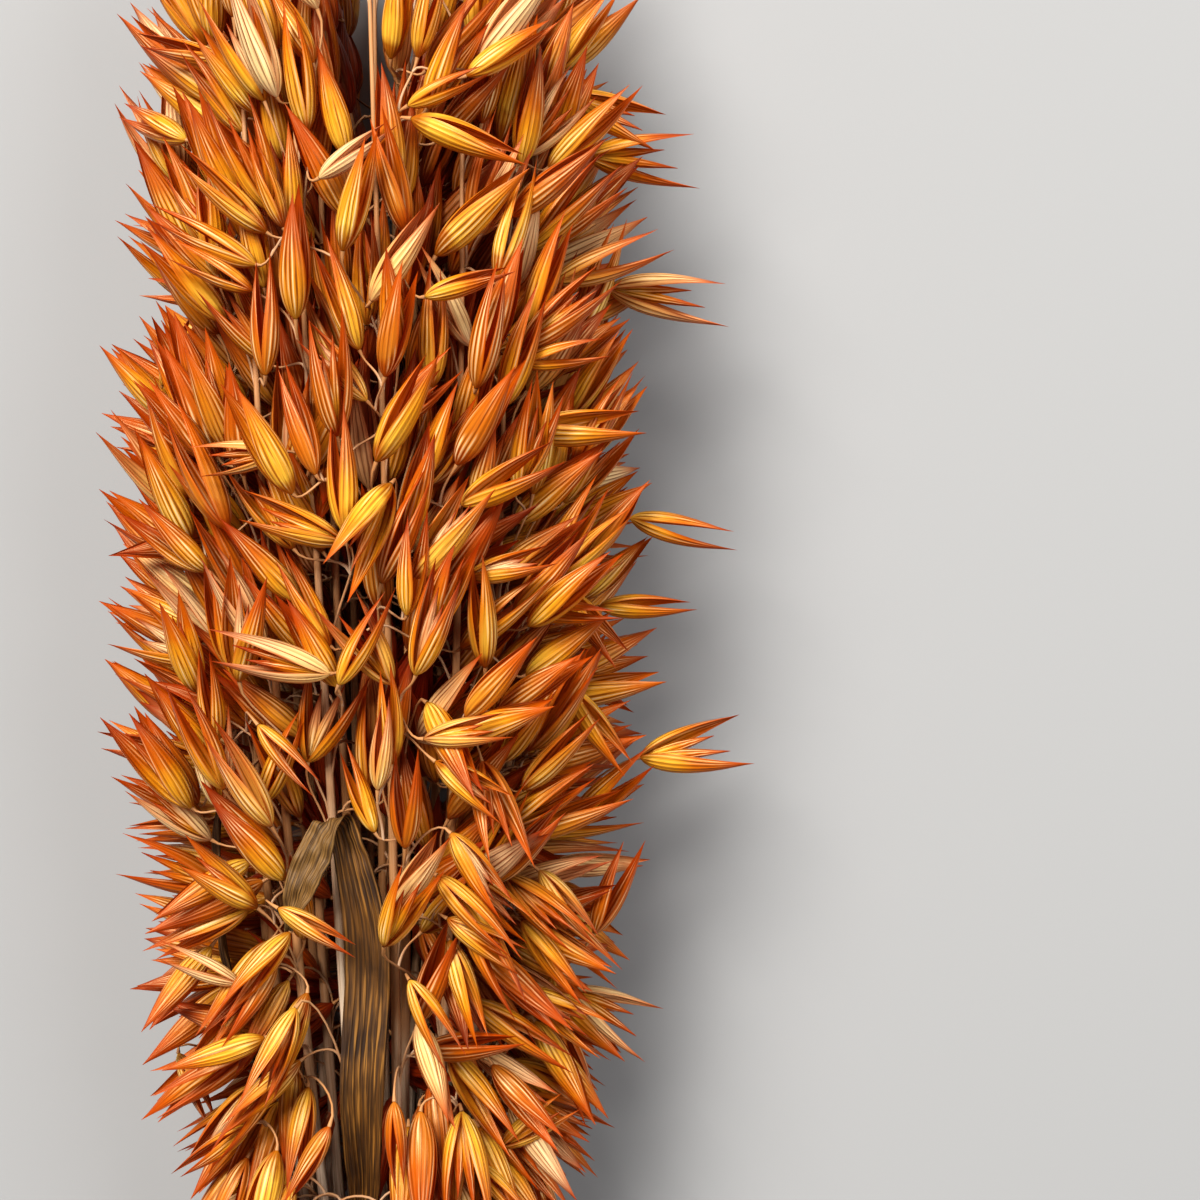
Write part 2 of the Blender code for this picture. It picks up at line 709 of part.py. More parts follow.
def leaf_mesh(rows):
    """Vertices and faces of a leaf: its rows, given thickness."""
    vertices = []
    half = LEAF_THICKNESS / 2
    for row in rows:
        ring = [point + normal * half for point, normal in row]
        ring += [point - normal * half for point, normal in reversed(row)]
        vertices += ring
    count = 2 * LEAF_COLUMNS
    faces = ring_faces(count, len(rows))
    for start in (0, (len(rows) - 1) * count):
        for c in range(LEAF_COLUMNS - 1):
            faces.append((start + c, start + c + 1, start + count - 2 - c,
                          start + count - 1 - c))
    return [floored(v) for v in vertices], faces


def tie_mesh():
    """Vertices and faces of the twine's turns, following the stalks inside them."""
    outer = RINGS[-1][1] + CULM_RADIUS
    inner = outer + 0.32
    half = TURNS * TWINE_RADIUS
    profile = [(-half, inner)]
    for turn in range(TURNS):
        middle = -half + TWINE_RADIUS * (2 * turn + 1)
        if turn:
            profile.append((middle - TWINE_RADIUS, inner + 1.25))
        else:
            profile.append((-half, inner + 1.1))
        profile.append((middle - 0.45, inner + 2 * TWINE_RADIUS))
        profile.append((middle + 0.45, inner + 2 * TWINE_RADIUS))
    profile += [(half, inner + 1.1), (half, inner)]
    vertices, count = [], len(profile)
    for s in range(TIE_SEGMENTS):
        turn = 2 * math.pi * s / TIE_SEGMENTS
        for step, radius in profile:
            y = TIE_Y + step
            radius = radius / math.cos(math.pi / TIE_SEGMENTS)
            radius += RINGS[-1][1] * (along(FAN, y) - 1.0)
            vertices.append((radius * math.cos(turn), y,
                             along(AXIS_HEIGHT, y) + radius * math.sin(turn)))
    faces = []
    for s in range(TIE_SEGMENTS):
        n = (s + 1) % TIE_SEGMENTS
        for i in range(count):
            j = (i + 1) % count
            faces.append((s * count + i, s * count + j, n * count + j, n * count + i))
    return vertices, faces


def tube_mesh(path, radii, sides):
    """Vertices and faces of a capped tube along a path."""
    hint = Vector((0.2, 0.9, 0.3))
    vertices = []
    for k, centre in enumerate(path):
        before, after = path[max(k - 1, 0)], path[min(k + 1, len(path) - 1)]
        way = (after - before).normalized()
        hint = across(way, hint)
        other = way.cross(hint)
        for i in range(sides):
            turn = 2 * math.pi * i / sides
            vertices.append(centre + (hint * math.cos(turn) + other * math.sin(turn)) * radii[k])
    faces = ring_faces(sides, len(path))
    faces.append(tuple(range(sides)))
    faces.append(tuple(range(len(vertices) - sides, len(vertices))))
    return vertices, faces


def knot_paths():
    """Lines and radii of the knot and of the twine's two ends."""
    turn = math.radians(62)
    reach = RINGS[-1][1] + CULM_RADIUS + 2.3
    out = Vector((math.cos(turn), 0, math.sin(turn)))
    round_it = Vector((-math.sin(turn), 0, math.cos(turn)))
    heart = Vector((0, TIE_Y, along(AXIS_HEIGHT, TIE_Y))) + out * reach
    lump = [heart - round_it * 3.1 - out * 0.6, heart - round_it * 1.8 + out * 0.7,
            heart + out * 1.2, heart + round_it * 1.8 + out * 0.7,
            heart + round_it * 3.1 - out * 0.6]
    yield lump, [0.9, 2.0, 2.3, 2.0, 0.9]
    for sign, far in ((1, 24.0), (-1, 17.0)):
        end = [heart + out * 1.0, heart + out * 2.6 + Vector((0, sign * 3.4, 0)),
               heart + out * 2.6 + Vector((3.0, sign * far * 0.45, -1.6)),
               heart + out * 0.4 + Vector((6.5, sign * far * 0.75, -5.5)),
               heart - out * 2.0 + Vector((10.0, sign * far, -10.5))]
        yield end, [0.9, 0.95, 0.95, 0.95, 1.0]


def keep_outside(mesh):
    """Leave only the largest shell, so that a hollow sealed by fusing is filled."""
    made = bmesh.new()
    made.from_mesh(mesh)
    left, shells = set(made.verts), []
    while left:
        ahead, shell = [left.pop()], []
        while ahead:
            vertex = ahead.pop()
            shell.append(vertex)
            for edge in vertex.link_edges:
                other = edge.other_vert(vertex)
                if other in left:
                    left.remove(other)
                    ahead.append(other)
        shells.append(shell)
    shells.sort(key=len)
    for shell in shells[:-1]:
        bmesh.ops.delete(made, geom=shell, context="VERTS")
    made.to_mesh(mesh)
    made.free()


def fuse(body, parts):
    """Fuse parts into a body with one union."""
    group = bpy.data.collections.new(body.name + "_parts")
    bpy.context.scene.collection.children.link(group)
    for part in parts:
        bpy.context.scene.collection.objects.unlink(part)
        group.objects.link(part)
    union = body.modifiers.new("fuse", "BOOLEAN")
    union.operation = "UNION"
    union.solver = "MANIFOLD"
    union.operand_type = "COLLECTION"
    union.collection = group
    graph = bpy.context.evaluated_depsgraph_get()
    done = bpy.data.meshes.new_from_object(body.evaluated_get(graph))
    body.modifiers.clear()
    body.data = done
    keep_outside(done)
    for part in list(group.objects):
        bpy.data.objects.remove(part)
    bpy.data.collections.remove(group)


def build():
    """Make every piece of the bunch."""
    for old in list(bpy.data.objects):
        bpy.data.objects.remove(old)
    rng = random.Random(SEED)
    stalks = make_stalks(rng)
    room = Room()
    for index, stalk in enumerate(stalks):
        path = stalk["path"]
        room.add([(a[0], b[0], max(a[1], b[1]), False) for a, b in zip(path, path[1:])], index)
    leaves = (("leaf_flag", flag_leaf(stalks)), ("leaf_strip", strip_leaf(stalks)),
              ("leaf_under", pressed_leaf(stalks)))
    for number, (name, rows) in enumerate(leaves):
        room.add(leaf_rods(rows), 100 + number)
    spikelets = shown_spikelets(room, stalks, rng)
    spikelets += top_spikelets(room, stalks, rng)
    spikelets += rule_spikelets(room, stalks, rng, SPIKELETS - len(spikelets), 0, GAP, 1.0)

    for index, stalk in enumerate(stalks):
        body = new_object(f"stalk_{index + 1:02d}", *culm_mesh(stalk), HUSK, True)
        own = [s for s in spikelets if s["stalk"] == index]
        parts = [new_object(f"part_{n}", *spikelet_mesh(s), HUSK, False)
                 for n, s in enumerate(own)]
        fuse(body, parts)
    for name, rows in leaves:
        new_object(name, *leaf_mesh(rows), LEAF, False)
    tie = new_object("tie", *tie_mesh(), TWINE, True)
    knots = [new_object(f"knot_{n}", *tube_mesh(path, radii, 6), TWINE, True)
             for n, (path, radii) in enumerate(knot_paths())]
    fuse(tie, knots)


build()
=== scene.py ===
"""The look of a bunch of dried oats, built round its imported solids.

Lengths are in millimetres until a mesh is made. The heads point along +Y, the stems end
at -Y, and the surface that the bunch lies on is z = 0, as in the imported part.
"""

import logging
import math
import random
from collections.abc import Iterable
from dataclasses import dataclass, field
from enum import Enum
from typing import NamedTuple

import bpy
import numpy as np
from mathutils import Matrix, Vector


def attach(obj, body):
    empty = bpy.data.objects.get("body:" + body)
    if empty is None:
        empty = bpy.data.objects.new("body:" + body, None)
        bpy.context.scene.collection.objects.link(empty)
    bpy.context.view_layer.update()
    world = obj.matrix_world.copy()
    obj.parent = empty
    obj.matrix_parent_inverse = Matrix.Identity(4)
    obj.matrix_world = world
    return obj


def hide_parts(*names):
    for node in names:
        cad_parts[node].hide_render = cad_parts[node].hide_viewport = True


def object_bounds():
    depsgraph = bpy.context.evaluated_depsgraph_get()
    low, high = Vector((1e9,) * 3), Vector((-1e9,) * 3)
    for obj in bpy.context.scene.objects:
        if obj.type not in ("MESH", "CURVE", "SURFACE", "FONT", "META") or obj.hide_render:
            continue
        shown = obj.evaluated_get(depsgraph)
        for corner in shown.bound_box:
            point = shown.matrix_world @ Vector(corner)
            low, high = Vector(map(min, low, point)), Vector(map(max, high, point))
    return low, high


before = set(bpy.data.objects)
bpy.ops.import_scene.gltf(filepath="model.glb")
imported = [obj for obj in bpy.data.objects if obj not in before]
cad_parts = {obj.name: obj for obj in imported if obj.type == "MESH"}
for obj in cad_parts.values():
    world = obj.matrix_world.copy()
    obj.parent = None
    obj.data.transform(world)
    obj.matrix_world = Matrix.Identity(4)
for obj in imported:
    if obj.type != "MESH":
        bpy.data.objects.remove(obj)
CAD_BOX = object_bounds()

MM = 0.001
SEED = 41
GRAIN = "grain"
TINT = "tint"
DYE = "dye"
# Tag: leaf underside, dark straw joints, and painted shade on deep oats and in the straw's mouth.
UNDERSIDE_JOINT_AND_SHADE = "under"
NOBODY = -1
FRONT_STALK = 12
FIRST_LEAF = 100
FULL_TURN = 6.28
FORWARD = Vector((0, 1, 0))
UPWARD = Vector((0, 0, 1))
LOG = logging.getLogger("dried_oats")

# Steps along and round the bunch that spread places evenly, however many they are.
EVEN_ALONG = 0.7548776662
EVEN_ROUND = 0.5698402910

Keys = tuple[tuple[float, float], ...]
Triples = tuple[tuple[float, float, float], ...]
Curve = tuple[Vector, Vector, Vector, Vector]
Row = list[tuple[Vector, Vector]]
Colour = tuple[int, int, int]
Stops = tuple[tuple[float, Colour], ...]
Inputs = dict[int | str, object]


class Slot(Enum):
    """Names of the material slots."""

    HUSK = "oat_husk"
    LEAF = "dry_leaf"
    TWINE = "twine"


class Fineness(Enum):
    """Rows and columns of one husk's mesh."""

    OUTER = (16, 13)
    UNDERSIDE = (12, 11)
    INNER = (9, 7)


class LeafForm(Enum):
    """The bunch's three leaves."""

    FLAG = "leaf_flag"
    STRIP = "leaf_strip"
    PRESSED = "leaf_under"


class Rod(NamedTuple):
    """A round-ended rod that stands for a length of stem, branch or husk."""

    start: Vector
    end: Vector
    radius: float
    is_husk: bool


@dataclass(frozen=True)
class Course:
    """Smooth curve through keys of (place along the bunch, value), level past its ends."""

    keys: Keys

    def at(self, y: float) -> float:
        """Value of the curve.

        Args:
            y: Place along the bunch.

        Returns:
            The value there.
        """
        keys = self.keys
        if y <= keys[0][0]:
            return float(keys[0][1])
        if y >= keys[-1][0]:
            return float(keys[-1][1])
        last = len(keys) - 1
        k = 0
        while y > keys[k + 1][0]:
            k += 1
        span = keys[k + 1][0] - keys[k][0]
        t = (y - keys[k][0]) / span
        slopes = []
        for i in (k, k + 1):
            low, high = keys[max(i - 1, 0)], keys[min(i + 1, last)]
            slopes.append(span * (high[1] - low[1]) / (high[0] - low[0]))
        square, cube = t * t, t * t * t
        return (
            (2 * cube - 3 * square + 1) * keys[k][1]
            + (cube - 2 * square + t) * slopes[0]
            + (3 * square - 2 * cube) * keys[k + 1][1]
            + (cube - square) * slopes[1]
        )


@dataclass(frozen=True)
class BunchForm:
    """Sizes that every piece of the bunch shares, the same as the solids'."""

    butt: float = -378.0
    tie: float = -235.0
    axis_height: Course = Course(((-385, 14.2), (-235, 25.0), (-130, 37.0), (-40, 44.0),
                                  (60, 46.0), (190, 47.0)))
    fan: Course = Course(((-385, 1.72), (-300, 1.22), (-235, 1.0), (-190, 1.35), (-125, 2.5),
                          (-60, 3.3), (20, 4.0), (100, 4.4), (180, 4.6)))
    floor_softness: Course = Course(((-385, 0.6), (-235, 1.0), (-130, 7.0), (-60, 9.0),
                                     (190, 9.0)))
    twist: float = math.radians(0.035)
    rings: Triples = ((3, 1.85, 75.0), (9, 5.0, 20.0), (14, 8.15, 97.0))
    sway: float = 3.2
    tops: tuple[float, float] = (72.0, 152.0)
    base_envelope: Course = Course(((-157, 20), (-125, 33), (-60, 40), (0, 43), (60, 43),
                                    (110, 39), (150, 26), (168, 12)))
    tip_envelope: Course = Course(((-182, 28), (-156, 40), (-125, 50), (-60, 58), (0, 63),
                                   (60, 63), (125, 59), (165, 42), (188, 24)))
    cleft_x: float = -1.0
    cleft: Course = Course(((84, 0.0), (104, 4.5), (125, 8.0), (190, 10.0)))
    leaf_window: tuple[float, ...] = (-13.0, 7.0, -130.0, -50.0, 55.0)
    stem_lane: tuple[float, ...] = (-9.5, -2.0, -130.0, 8.0, 50.0)
    lift: Course = Course(((-165, -62), (-125, -46), (-80, -14), (-40, 12), (0, 28), (60, 42),
                           (120, 56), (170, 74)))
    turn_waves: Triples = ((0.36, 0.19, 3), (0.22, 0.071, -2))
    lift_waves: Triples = ((15, 0.15, -4), (8, 0.37, 2))
    reach_waves: Triples = ((0.06, 0.23, 2), (0.05, 0.11, -3))
    unfelt: float = 20.0

    def pressed(self, height: float, y: float, radius: float) -> float:
        """Height of a point after the surface has pushed up what would sink into it.

        Args:
            height: Height without the surface.
            y: Place along the bunch.
            radius: Height that the point keeps.

        Returns:
            The height with the surface.
        """
        soft = self.floor_softness.at(y)
        over = (height - radius) / soft
        if over > self.unfelt:
            return height
        return radius + soft * math.log1p(math.exp(over))

    def holds(self, point: Vector, envelope: Course, slack: float) -> bool:
        """Whether a point is within an envelope round the bunch's axis.

        Args:
            point: The point.
            envelope: Radius along the bunch.
            slack: Distance that the point may stand proud.

        Returns:
            True if it is inside.
        """
        if not envelope.keys[0][0] <= point.y <= envelope.keys[-1][0]:
            return False
        rise = point.z - self.axis_height.at(point.y)
        return math.hypot(point.x, rise) <= envelope.at(point.y) + slack

    def parts(self, point: Vector) -> bool:
        """Whether a point is in the cleft that parts the heads' upper end."""
        return abs(point.x - self.cleft_x) < self.cleft.at(point.y)

    def over(self, point: Vector, window: tuple[float, ...]) -> bool:
        """Whether a point is over a window: its least and most x and y, and its height."""
        left, right, low, high, above = window
        return point.z > above and left < point.x < right and low < point.y < high

    def over_leaf(self, point: Vector) -> bool:
        """Whether a point is over the folded leaf."""
        return self.over(point, self.leaf_window)

    def over_stem(self, rods: list[Rod]) -> bool:
        """Whether the rods of an added oat would cover the main stem."""
        return any(self.over(rod.start.lerp(rod.end, t), self.stem_lane)
                   for rod in rods for t in (0.0, 0.5, 1.0))

    def bars(self, base: Vector, tip: Vector) -> bool:
        """Whether an oat from base to tip would close the cleft or cover the folded leaf."""
        return (self.parts(base) or self.parts(tip) or self.over_leaf(base)
                or self.over_leaf(tip) or self.over_leaf(base.lerp(tip, 0.5)))

    def flow(self, y: float, angle: float) -> tuple[float, float, float]:
        """How neighbours lean together.

        Args:
            y: Place along the bunch.
            angle: Place round it.

        Returns:
            Turn round the bunch, turn along it in degrees, and share of its reach.
        """
        turn, lift, reach = (
            sum(size * math.sin(step * y + turns * angle) for size, step, turns in waves)
            for waves in (self.turn_waves, self.lift_waves, self.reach_waves))
        return turn, lift, 1.0 + reach


def across(direction: Vector, hint: Vector) -> Vector:
    """Unit vector across a direction, as near to a hint as can be.

    Args:
        direction: Unit vector to be square to.
        hint: Wished direction.

    Returns:
        The unit vector.
    """
    side = hint - direction * hint.dot(direction)
    if side.length < 1e-4:
        side = Vector((0.31, 0.17, 0.93))
        side = side - direction * side.dot(direction)
    return side.normalized()


def turned(first: Vector | np.ndarray, second: Vector | np.ndarray,
           angle: float) -> Vector | np.ndarray:
    """Unit vector turned by an angle from a first one towards a second, square to it."""
    return first * math.cos(angle) + second * math.sin(angle)


def bezier(points: Curve, t: float) -> Vector:
    """Point of a cubic curve.

    Args:
        points: Its four control points.
        t: Place on it, from 0 to 1.

    Returns:
        The point.
    """
    a, b, c, d = points
    s = 1.0 - t
    return a * s ** 3 + b * (3 * s * s * t) + c * (3 * s * t * t) + d * t ** 3


def between(before: Vector | np.ndarray, a: Vector | np.ndarray, b: Vector | np.ndarray,
            after: Vector | np.ndarray, t: float | np.ndarray) -> Vector | np.ndarray:
    """Point at t, from a to b, of a smooth curve through four points."""
    return 0.5 * (2 * a + (b - before) * t + (2 * before - 5 * a + 4 * b - after) * t * t
                  + (3 * a - before - 3 * b + after) * t ** 3)


def smooth_line(points: list[Vector], steps: int) -> list[Vector]:
    """Smooth line through points.

    Args:
        points: Points that it passes through.
        steps: Steps between each two.

    Returns:
        The line's points.
    """
    line = []
    for k in range(len(points) - 1):
        before = points[max(k - 1, 0)]
        after = points[min(k + 2, len(points) - 1)]
        line += [between(before, points[k], points[k + 1], after, i / steps)
                 for i in range(steps)]
    line.append(points[-1])
    return line


def as_rows(points: Iterable[Vector]) -> np.ndarray:
    """Points as the rows of an array."""
    return np.array([tuple(point) for point in points])


def unit(vectors: np.ndarray) -> np.ndarray:
    """Vectors of an array, each brought to length 1."""
    return vectors / np.maximum(np.linalg.norm(vectors, axis=-1, keepdims=True), 1e-9)


def square_to(line: np.ndarray, reference: np.ndarray) -> tuple[np.ndarray, np.ndarray]:
    """Two unit vectors at each point of a line, square to it and to each other.

    Args:
        line: Points of the line.
        reference: Direction that the first looks towards.

    Returns:
        The first and the second.
    """
    way = unit(np.gradient(line, axis=0))
    first = unit(reference - way * (way * reference).sum(-1, keepdims=True))
    return first, np.cross(way, first)


def rings_round(line: np.ndarray, radii: np.ndarray, sides: int,
                reference: np.ndarray) -> np.ndarray:
    """Rings of points round a line.

    Args:
        line: Points of the line.
        radii: Radius at each.
        sides: Points in a ring.
        reference: Direction that the first point of each ring looks towards.

    Returns:
        Array of rings, points and coordinates.
    """
    first, second = square_to(line, reference)
    turn = np.arange(sides) * 2 * np.pi / sides
    ring = (first[:, None] * np.cos(turn)[None, :, None]
            + second[:, None] * np.sin(turn)[None, :, None])
    return line[:, None] + ring * radii[:, None, None]


def resampled(values: np.ndarray, count: int) -> np.ndarray:
    """Smooth finer copy of an array along its first axis.

    Args:
        values: Values at even steps.
        count: Number of rows wanted.

    Returns:
        Array with that number of rows.
    """
    last = len(values) - 1
    place = np.linspace(0, last, count)
    k = np.minimum(place.astype(int), last - 1)
    t = (place - k).reshape((-1,) + (1,) * (values.ndim - 1))
    return between(values[np.maximum(k - 1, 0)], values[k], values[k + 1],
                   values[np.minimum(k + 2, last)], t)


class Cloth:
    """Gathers grids of points, then makes one mesh object of them."""

    def __init__(self, name: str, lowest: float = 0.0) -> None:
        """Start an empty piece.

        Args:
            name: Name of the object.
            lowest: Height that its points are kept from sinking below.
        """
        self.name = name
        self.lowest = lowest
        self.points: list[np.ndarray] = []
        self.faces: list[np.ndarray] = []
        self.grain: list[np.ndarray] = []
        self.finish: list[np.ndarray] = []
        self.tags: dict[str, list[np.ndarray]] = {TINT: [], DYE: [], UNDERSIDE_JOINT_AND_SHADE: []}
        self.count = 0

    def lay(self, grid: np.ndarray, finish: int = 0, closed: bool = False,
            along: np.ndarray | None = None, **tags: float | np.ndarray) -> None:
        """Add a grid of points as quads.

        Args:
            grid: Array of rows, columns and coordinates, in millimetres.
            finish: Number of the material.
            closed: Whether the last column joins the first.
            along: Grain coordinate of each row, or None for even steps.
            tags: Values of the surface, one for the grid or one for each point.
        """
        rows, columns = grid.shape[:2]
        steps = columns if closed else columns - 1
        v = np.linspace(0, 1, rows) if along is None else along
        r, c = np.meshgrid(np.arange(rows - 1), np.arange(steps), indexing="ij")
        corners = ((r, c), (r, c + 1), (r + 1, c + 1), (r + 1, c))
        faces = np.stack([self.count + a * columns + b % columns for a, b in corners], -1)
        grain = np.stack([np.stack([b / steps, v[a]], -1) for a, b in corners], -2)
        points = grid.reshape(-1, 3).copy()
        points[:, 2] = np.maximum(points[:, 2], self.lowest)
        self.points.append(points)
        self.faces.append(faces.reshape(-1, 4))
        self.grain.append(grain.reshape(-1, 2))
        self.finish.append(np.full((rows - 1) * steps, finish))
        for tag, values in self.tags.items():
            value = np.broadcast_to(np.asarray(tags.get(tag, 0.0), float), (rows, columns))
            values.append(value.reshape(-1))
        self.count += rows * columns

    def cut(self, finishes: list[bpy.types.Material]) -> bpy.types.Object:
        """Make the object.

        Args:
            finishes: Its materials, in the order of their numbers.

        Returns:
            The object, linked to the scene.
        """
        mesh = bpy.data.meshes.new(self.name)
        points = np.concatenate(self.points) * MM
        faces = np.concatenate(self.faces).astype(np.int32)
        mesh.vertices.add(len(points))
        mesh.vertices.foreach_set("co", points.ravel())
        mesh.loops.add(faces.size)
        mesh.loops.foreach_set("vertex_index", faces.ravel())
        mesh.polygons.add(len(faces))
        mesh.polygons.foreach_set("loop_start", np.arange(0, faces.size, 4, dtype=np.int32))
        mesh.polygons.foreach_set("material_index", np.concatenate(self.finish).astype(np.int32))
        mesh.polygons.foreach_set("use_smooth", np.ones(len(faces), bool))
        mesh.update(calc_edges=True)
        layer = mesh.uv_layers.new(name=GRAIN)
        layer.data.foreach_set("uv", np.concatenate(self.grain).ravel())
        for tag, values in self.tags.items():
            attribute = mesh.attributes.new(tag, "FLOAT", "POINT")
            attribute.data.foreach_set("value", np.concatenate(values))
        for finish in finishes:
            mesh.materials.append(finish)
        piece = bpy.data.objects.new(self.name, mesh)
        bpy.context.scene.collection.objects.link(piece)
        LOG.info("%s: %d triangles", self.name, 2 * len(faces))
        return piece


class Wire:
    """An output socket of a material, with arithmetic that adds its Math nodes."""

    def __init__(self, paint: "Paint", socket: bpy.types.NodeSocket) -> None:
        """Wrap an output socket of a material."""
        self.paint = paint
        self.socket = socket

    def maths(self, operation: str, *values: "Wire | float") -> "Wire":
        """Output of a Math node."""
        return self.paint.wire("ShaderNodeMath", {"operation": operation},
                               dict(enumerate(values)))

    def __add__(self, other: "Wire | float") -> "Wire":
        """Sum of this and another."""
        return self.maths("ADD", self, other)

    def __radd__(self, other: float) -> "Wire":
        """Sum of a number and this."""
        return self.maths("ADD", other, self)

    def __sub__(self, other: "Wire | float") -> "Wire":
        """This less another."""
        return self.maths("SUBTRACT", self, other)

    def __rsub__(self, other: float) -> "Wire":
        """A number less this."""
        return self.maths("SUBTRACT", other, self)

    def __mul__(self, other: "Wire | float") -> "Wire":
        """Product of this and another."""
        return self.maths("MULTIPLY", self, other)

    def __rmul__(self, other: float) -> "Wire":
        """Product of a number and this."""
        return self.maths("MULTIPLY", other, self)

    def __abs__(self) -> "Wire":
        """Size of this without its sign."""
        return self.maths("ABSOLUTE", self)

    def fraction(self) -> "Wire":
        """What is left of this past its whole steps."""
        return self.maths("FRACT", self)

    def wave(self) -> "Wire":
        """From 0 to 1 and back for each whole step of this."""
        return 0.5 - 0.5 * self.maths("COSINE", self * (2 * math.pi))

    def ease(self, low: float, high: float) -> "Wire":
        """Smooth rise of this from 0, at low, to 1, at high."""
        return self.paint.wire("ShaderNodeMapRange", {"interpolation_type": "SMOOTHSTEP"},
                               {"Value": self, "From Min": low, "From Max": high})


class Paint:
    """A material made of nodes, with a method for each kind of node that it needs."""

    def __init__(self, name: str) -> None:
        """Start a material with nothing in it.

        Args:
            name: Name of the material.
        """
        self.material = bpy.data.materials.new(name)
        self.material.use_nodes = True
        self.tree = self.material.node_tree
        self.tree.nodes.clear()

    def node(self, kind: str, settings: dict[str, object], inputs: Inputs) -> bpy.types.Node:
        """Add a node.

        Args:
            kind: Its type.
            settings: Its settings, which are set first. A ramp's stops are named "stops".
            inputs: Values or links of its input sockets, by name or number.

        Returns:
            The node.
        """
        made = self.tree.nodes.new(kind)
        for key, value in settings.items():
            if key == "stops":
                self.set_stops(made.color_ramp, value)
            else:
                setattr(made, key, value)
        for key, value in inputs.items():
            socket = made.inputs[key]
            if isinstance(value, Wire):
                self.tree.links.new(value.socket, socket)
            else:
                socket.default_value = value
        return made

    def set_stops(self, ramp: bpy.types.ColorRamp, stops: Stops) -> None:
        """Set the stops of a ramp.

        Args:
            ramp: The ramp.
            stops: Place and colour of each stop.
        """
        while len(ramp.elements) < len(stops):
            ramp.elements.new(1.0)
        for element, (place, colour) in zip(ramp.elements, stops):
            element.position = place
            element.color = shade(colour)

    def wire(self, kind: str, settings: dict[str, object], inputs: Inputs,
             output: int | str = 0) -> Wire:
        """Add a node and take one of its outputs."""
        return Wire(self, self.node(kind, settings, inputs).outputs[output])

    def grain(self) -> tuple[Wire, Wire]:
        """Places across and along the surface, from its own coordinates.

        Returns:
            The place across and the place along, each from 0.
        """
        place = self.wire("ShaderNodeUVMap", {"uv_map": GRAIN}, {})
        split = self.node("ShaderNodeSeparateXYZ", {}, {0: place})
        return Wire(self, split.outputs[0]), Wire(self, split.outputs[1])

    def tag(self, name: str) -> Wire:
        """Value that the mesh carries under a name."""
        return self.wire("ShaderNodeAttribute", {"attribute_name": name}, {}, "Fac")

    def noise(self, place: Wire | None, scale: float, detail: float = 2.0) -> Wire:
        """Noise.

        Args:
            place: Coordinates, or None for the object's own, in metres.
            scale: Its scale.
            detail: Its octaves.

        Returns:
            Its value.
        """
        if place is None:
            place = self.wire("ShaderNodeTexCoord", {}, {}, "Object")
        return self.wire("ShaderNodeTexNoise", {"noise_dimensions": "3D"},
                         {"Vector": place, "Scale": scale, "Detail": detail})

    def joined(self, x: Wire | float, y: Wire | float, z: Wire | float) -> Wire:
        """Three values as one vector."""
        return self.wire("ShaderNodeCombineXYZ", {}, {0: x, 1: y, 2: z})

    def blend(self, mask: Wire | float, first: Wire | Colour, second: Wire | Colour,
              how: str = "MIX") -> Wire:
        """Mix two colours.

        Args:
            mask: Share of the second.
            first: The first colour.
            second: The second colour.
            how: Way of mixing.

        Returns:
            The mixed colour.
        """
        colours = [c if isinstance(c, Wire) else shade(c) for c in (first, second)]
        return self.wire("ShaderNodeMix", {"data_type": "RGBA", "blend_type": how},
                         {0: mask, 6: colours[0], 7: colours[1]}, 2)

    def ramp(self, value: Wire, stops: Stops) -> Wire:
        """Colour ramp over a value."""
        return self.wire("ShaderNodeValToRGB", {"stops": stops}, {0: value})

    def relief(self, height: Wire, distance: float, strength: float) -> Wire:
        """Normal of a relief of that height in metres."""
        return self.wire("ShaderNodeBump", {}, {"Height": height, "Distance": distance,
                                                "Strength": strength})

    def done(self, surface: bpy.types.Node) -> bpy.types.Material:
        """Join the last shader to the material's output and give the material."""
        self.node("ShaderNodeOutputMaterial", {}, {0: Wire(self, surface.outputs[0])})
        return self.material


def shade(colour: Colour) -> tuple[float, float, float, float]:
    """Screen colour as the linear light that a shader takes.

    Args:
        colour: Red, green and blue from 0 to 255.

    Returns:
        Linear red, green, blue and 1.
    """
    linear = []
    for part in colour:
        c = part / 255.0
        linear.append(c / 12.92 if c <= 0.04045 else ((c + 0.055) / 1.055) ** 2.4)
    return (*linear, 1.0)


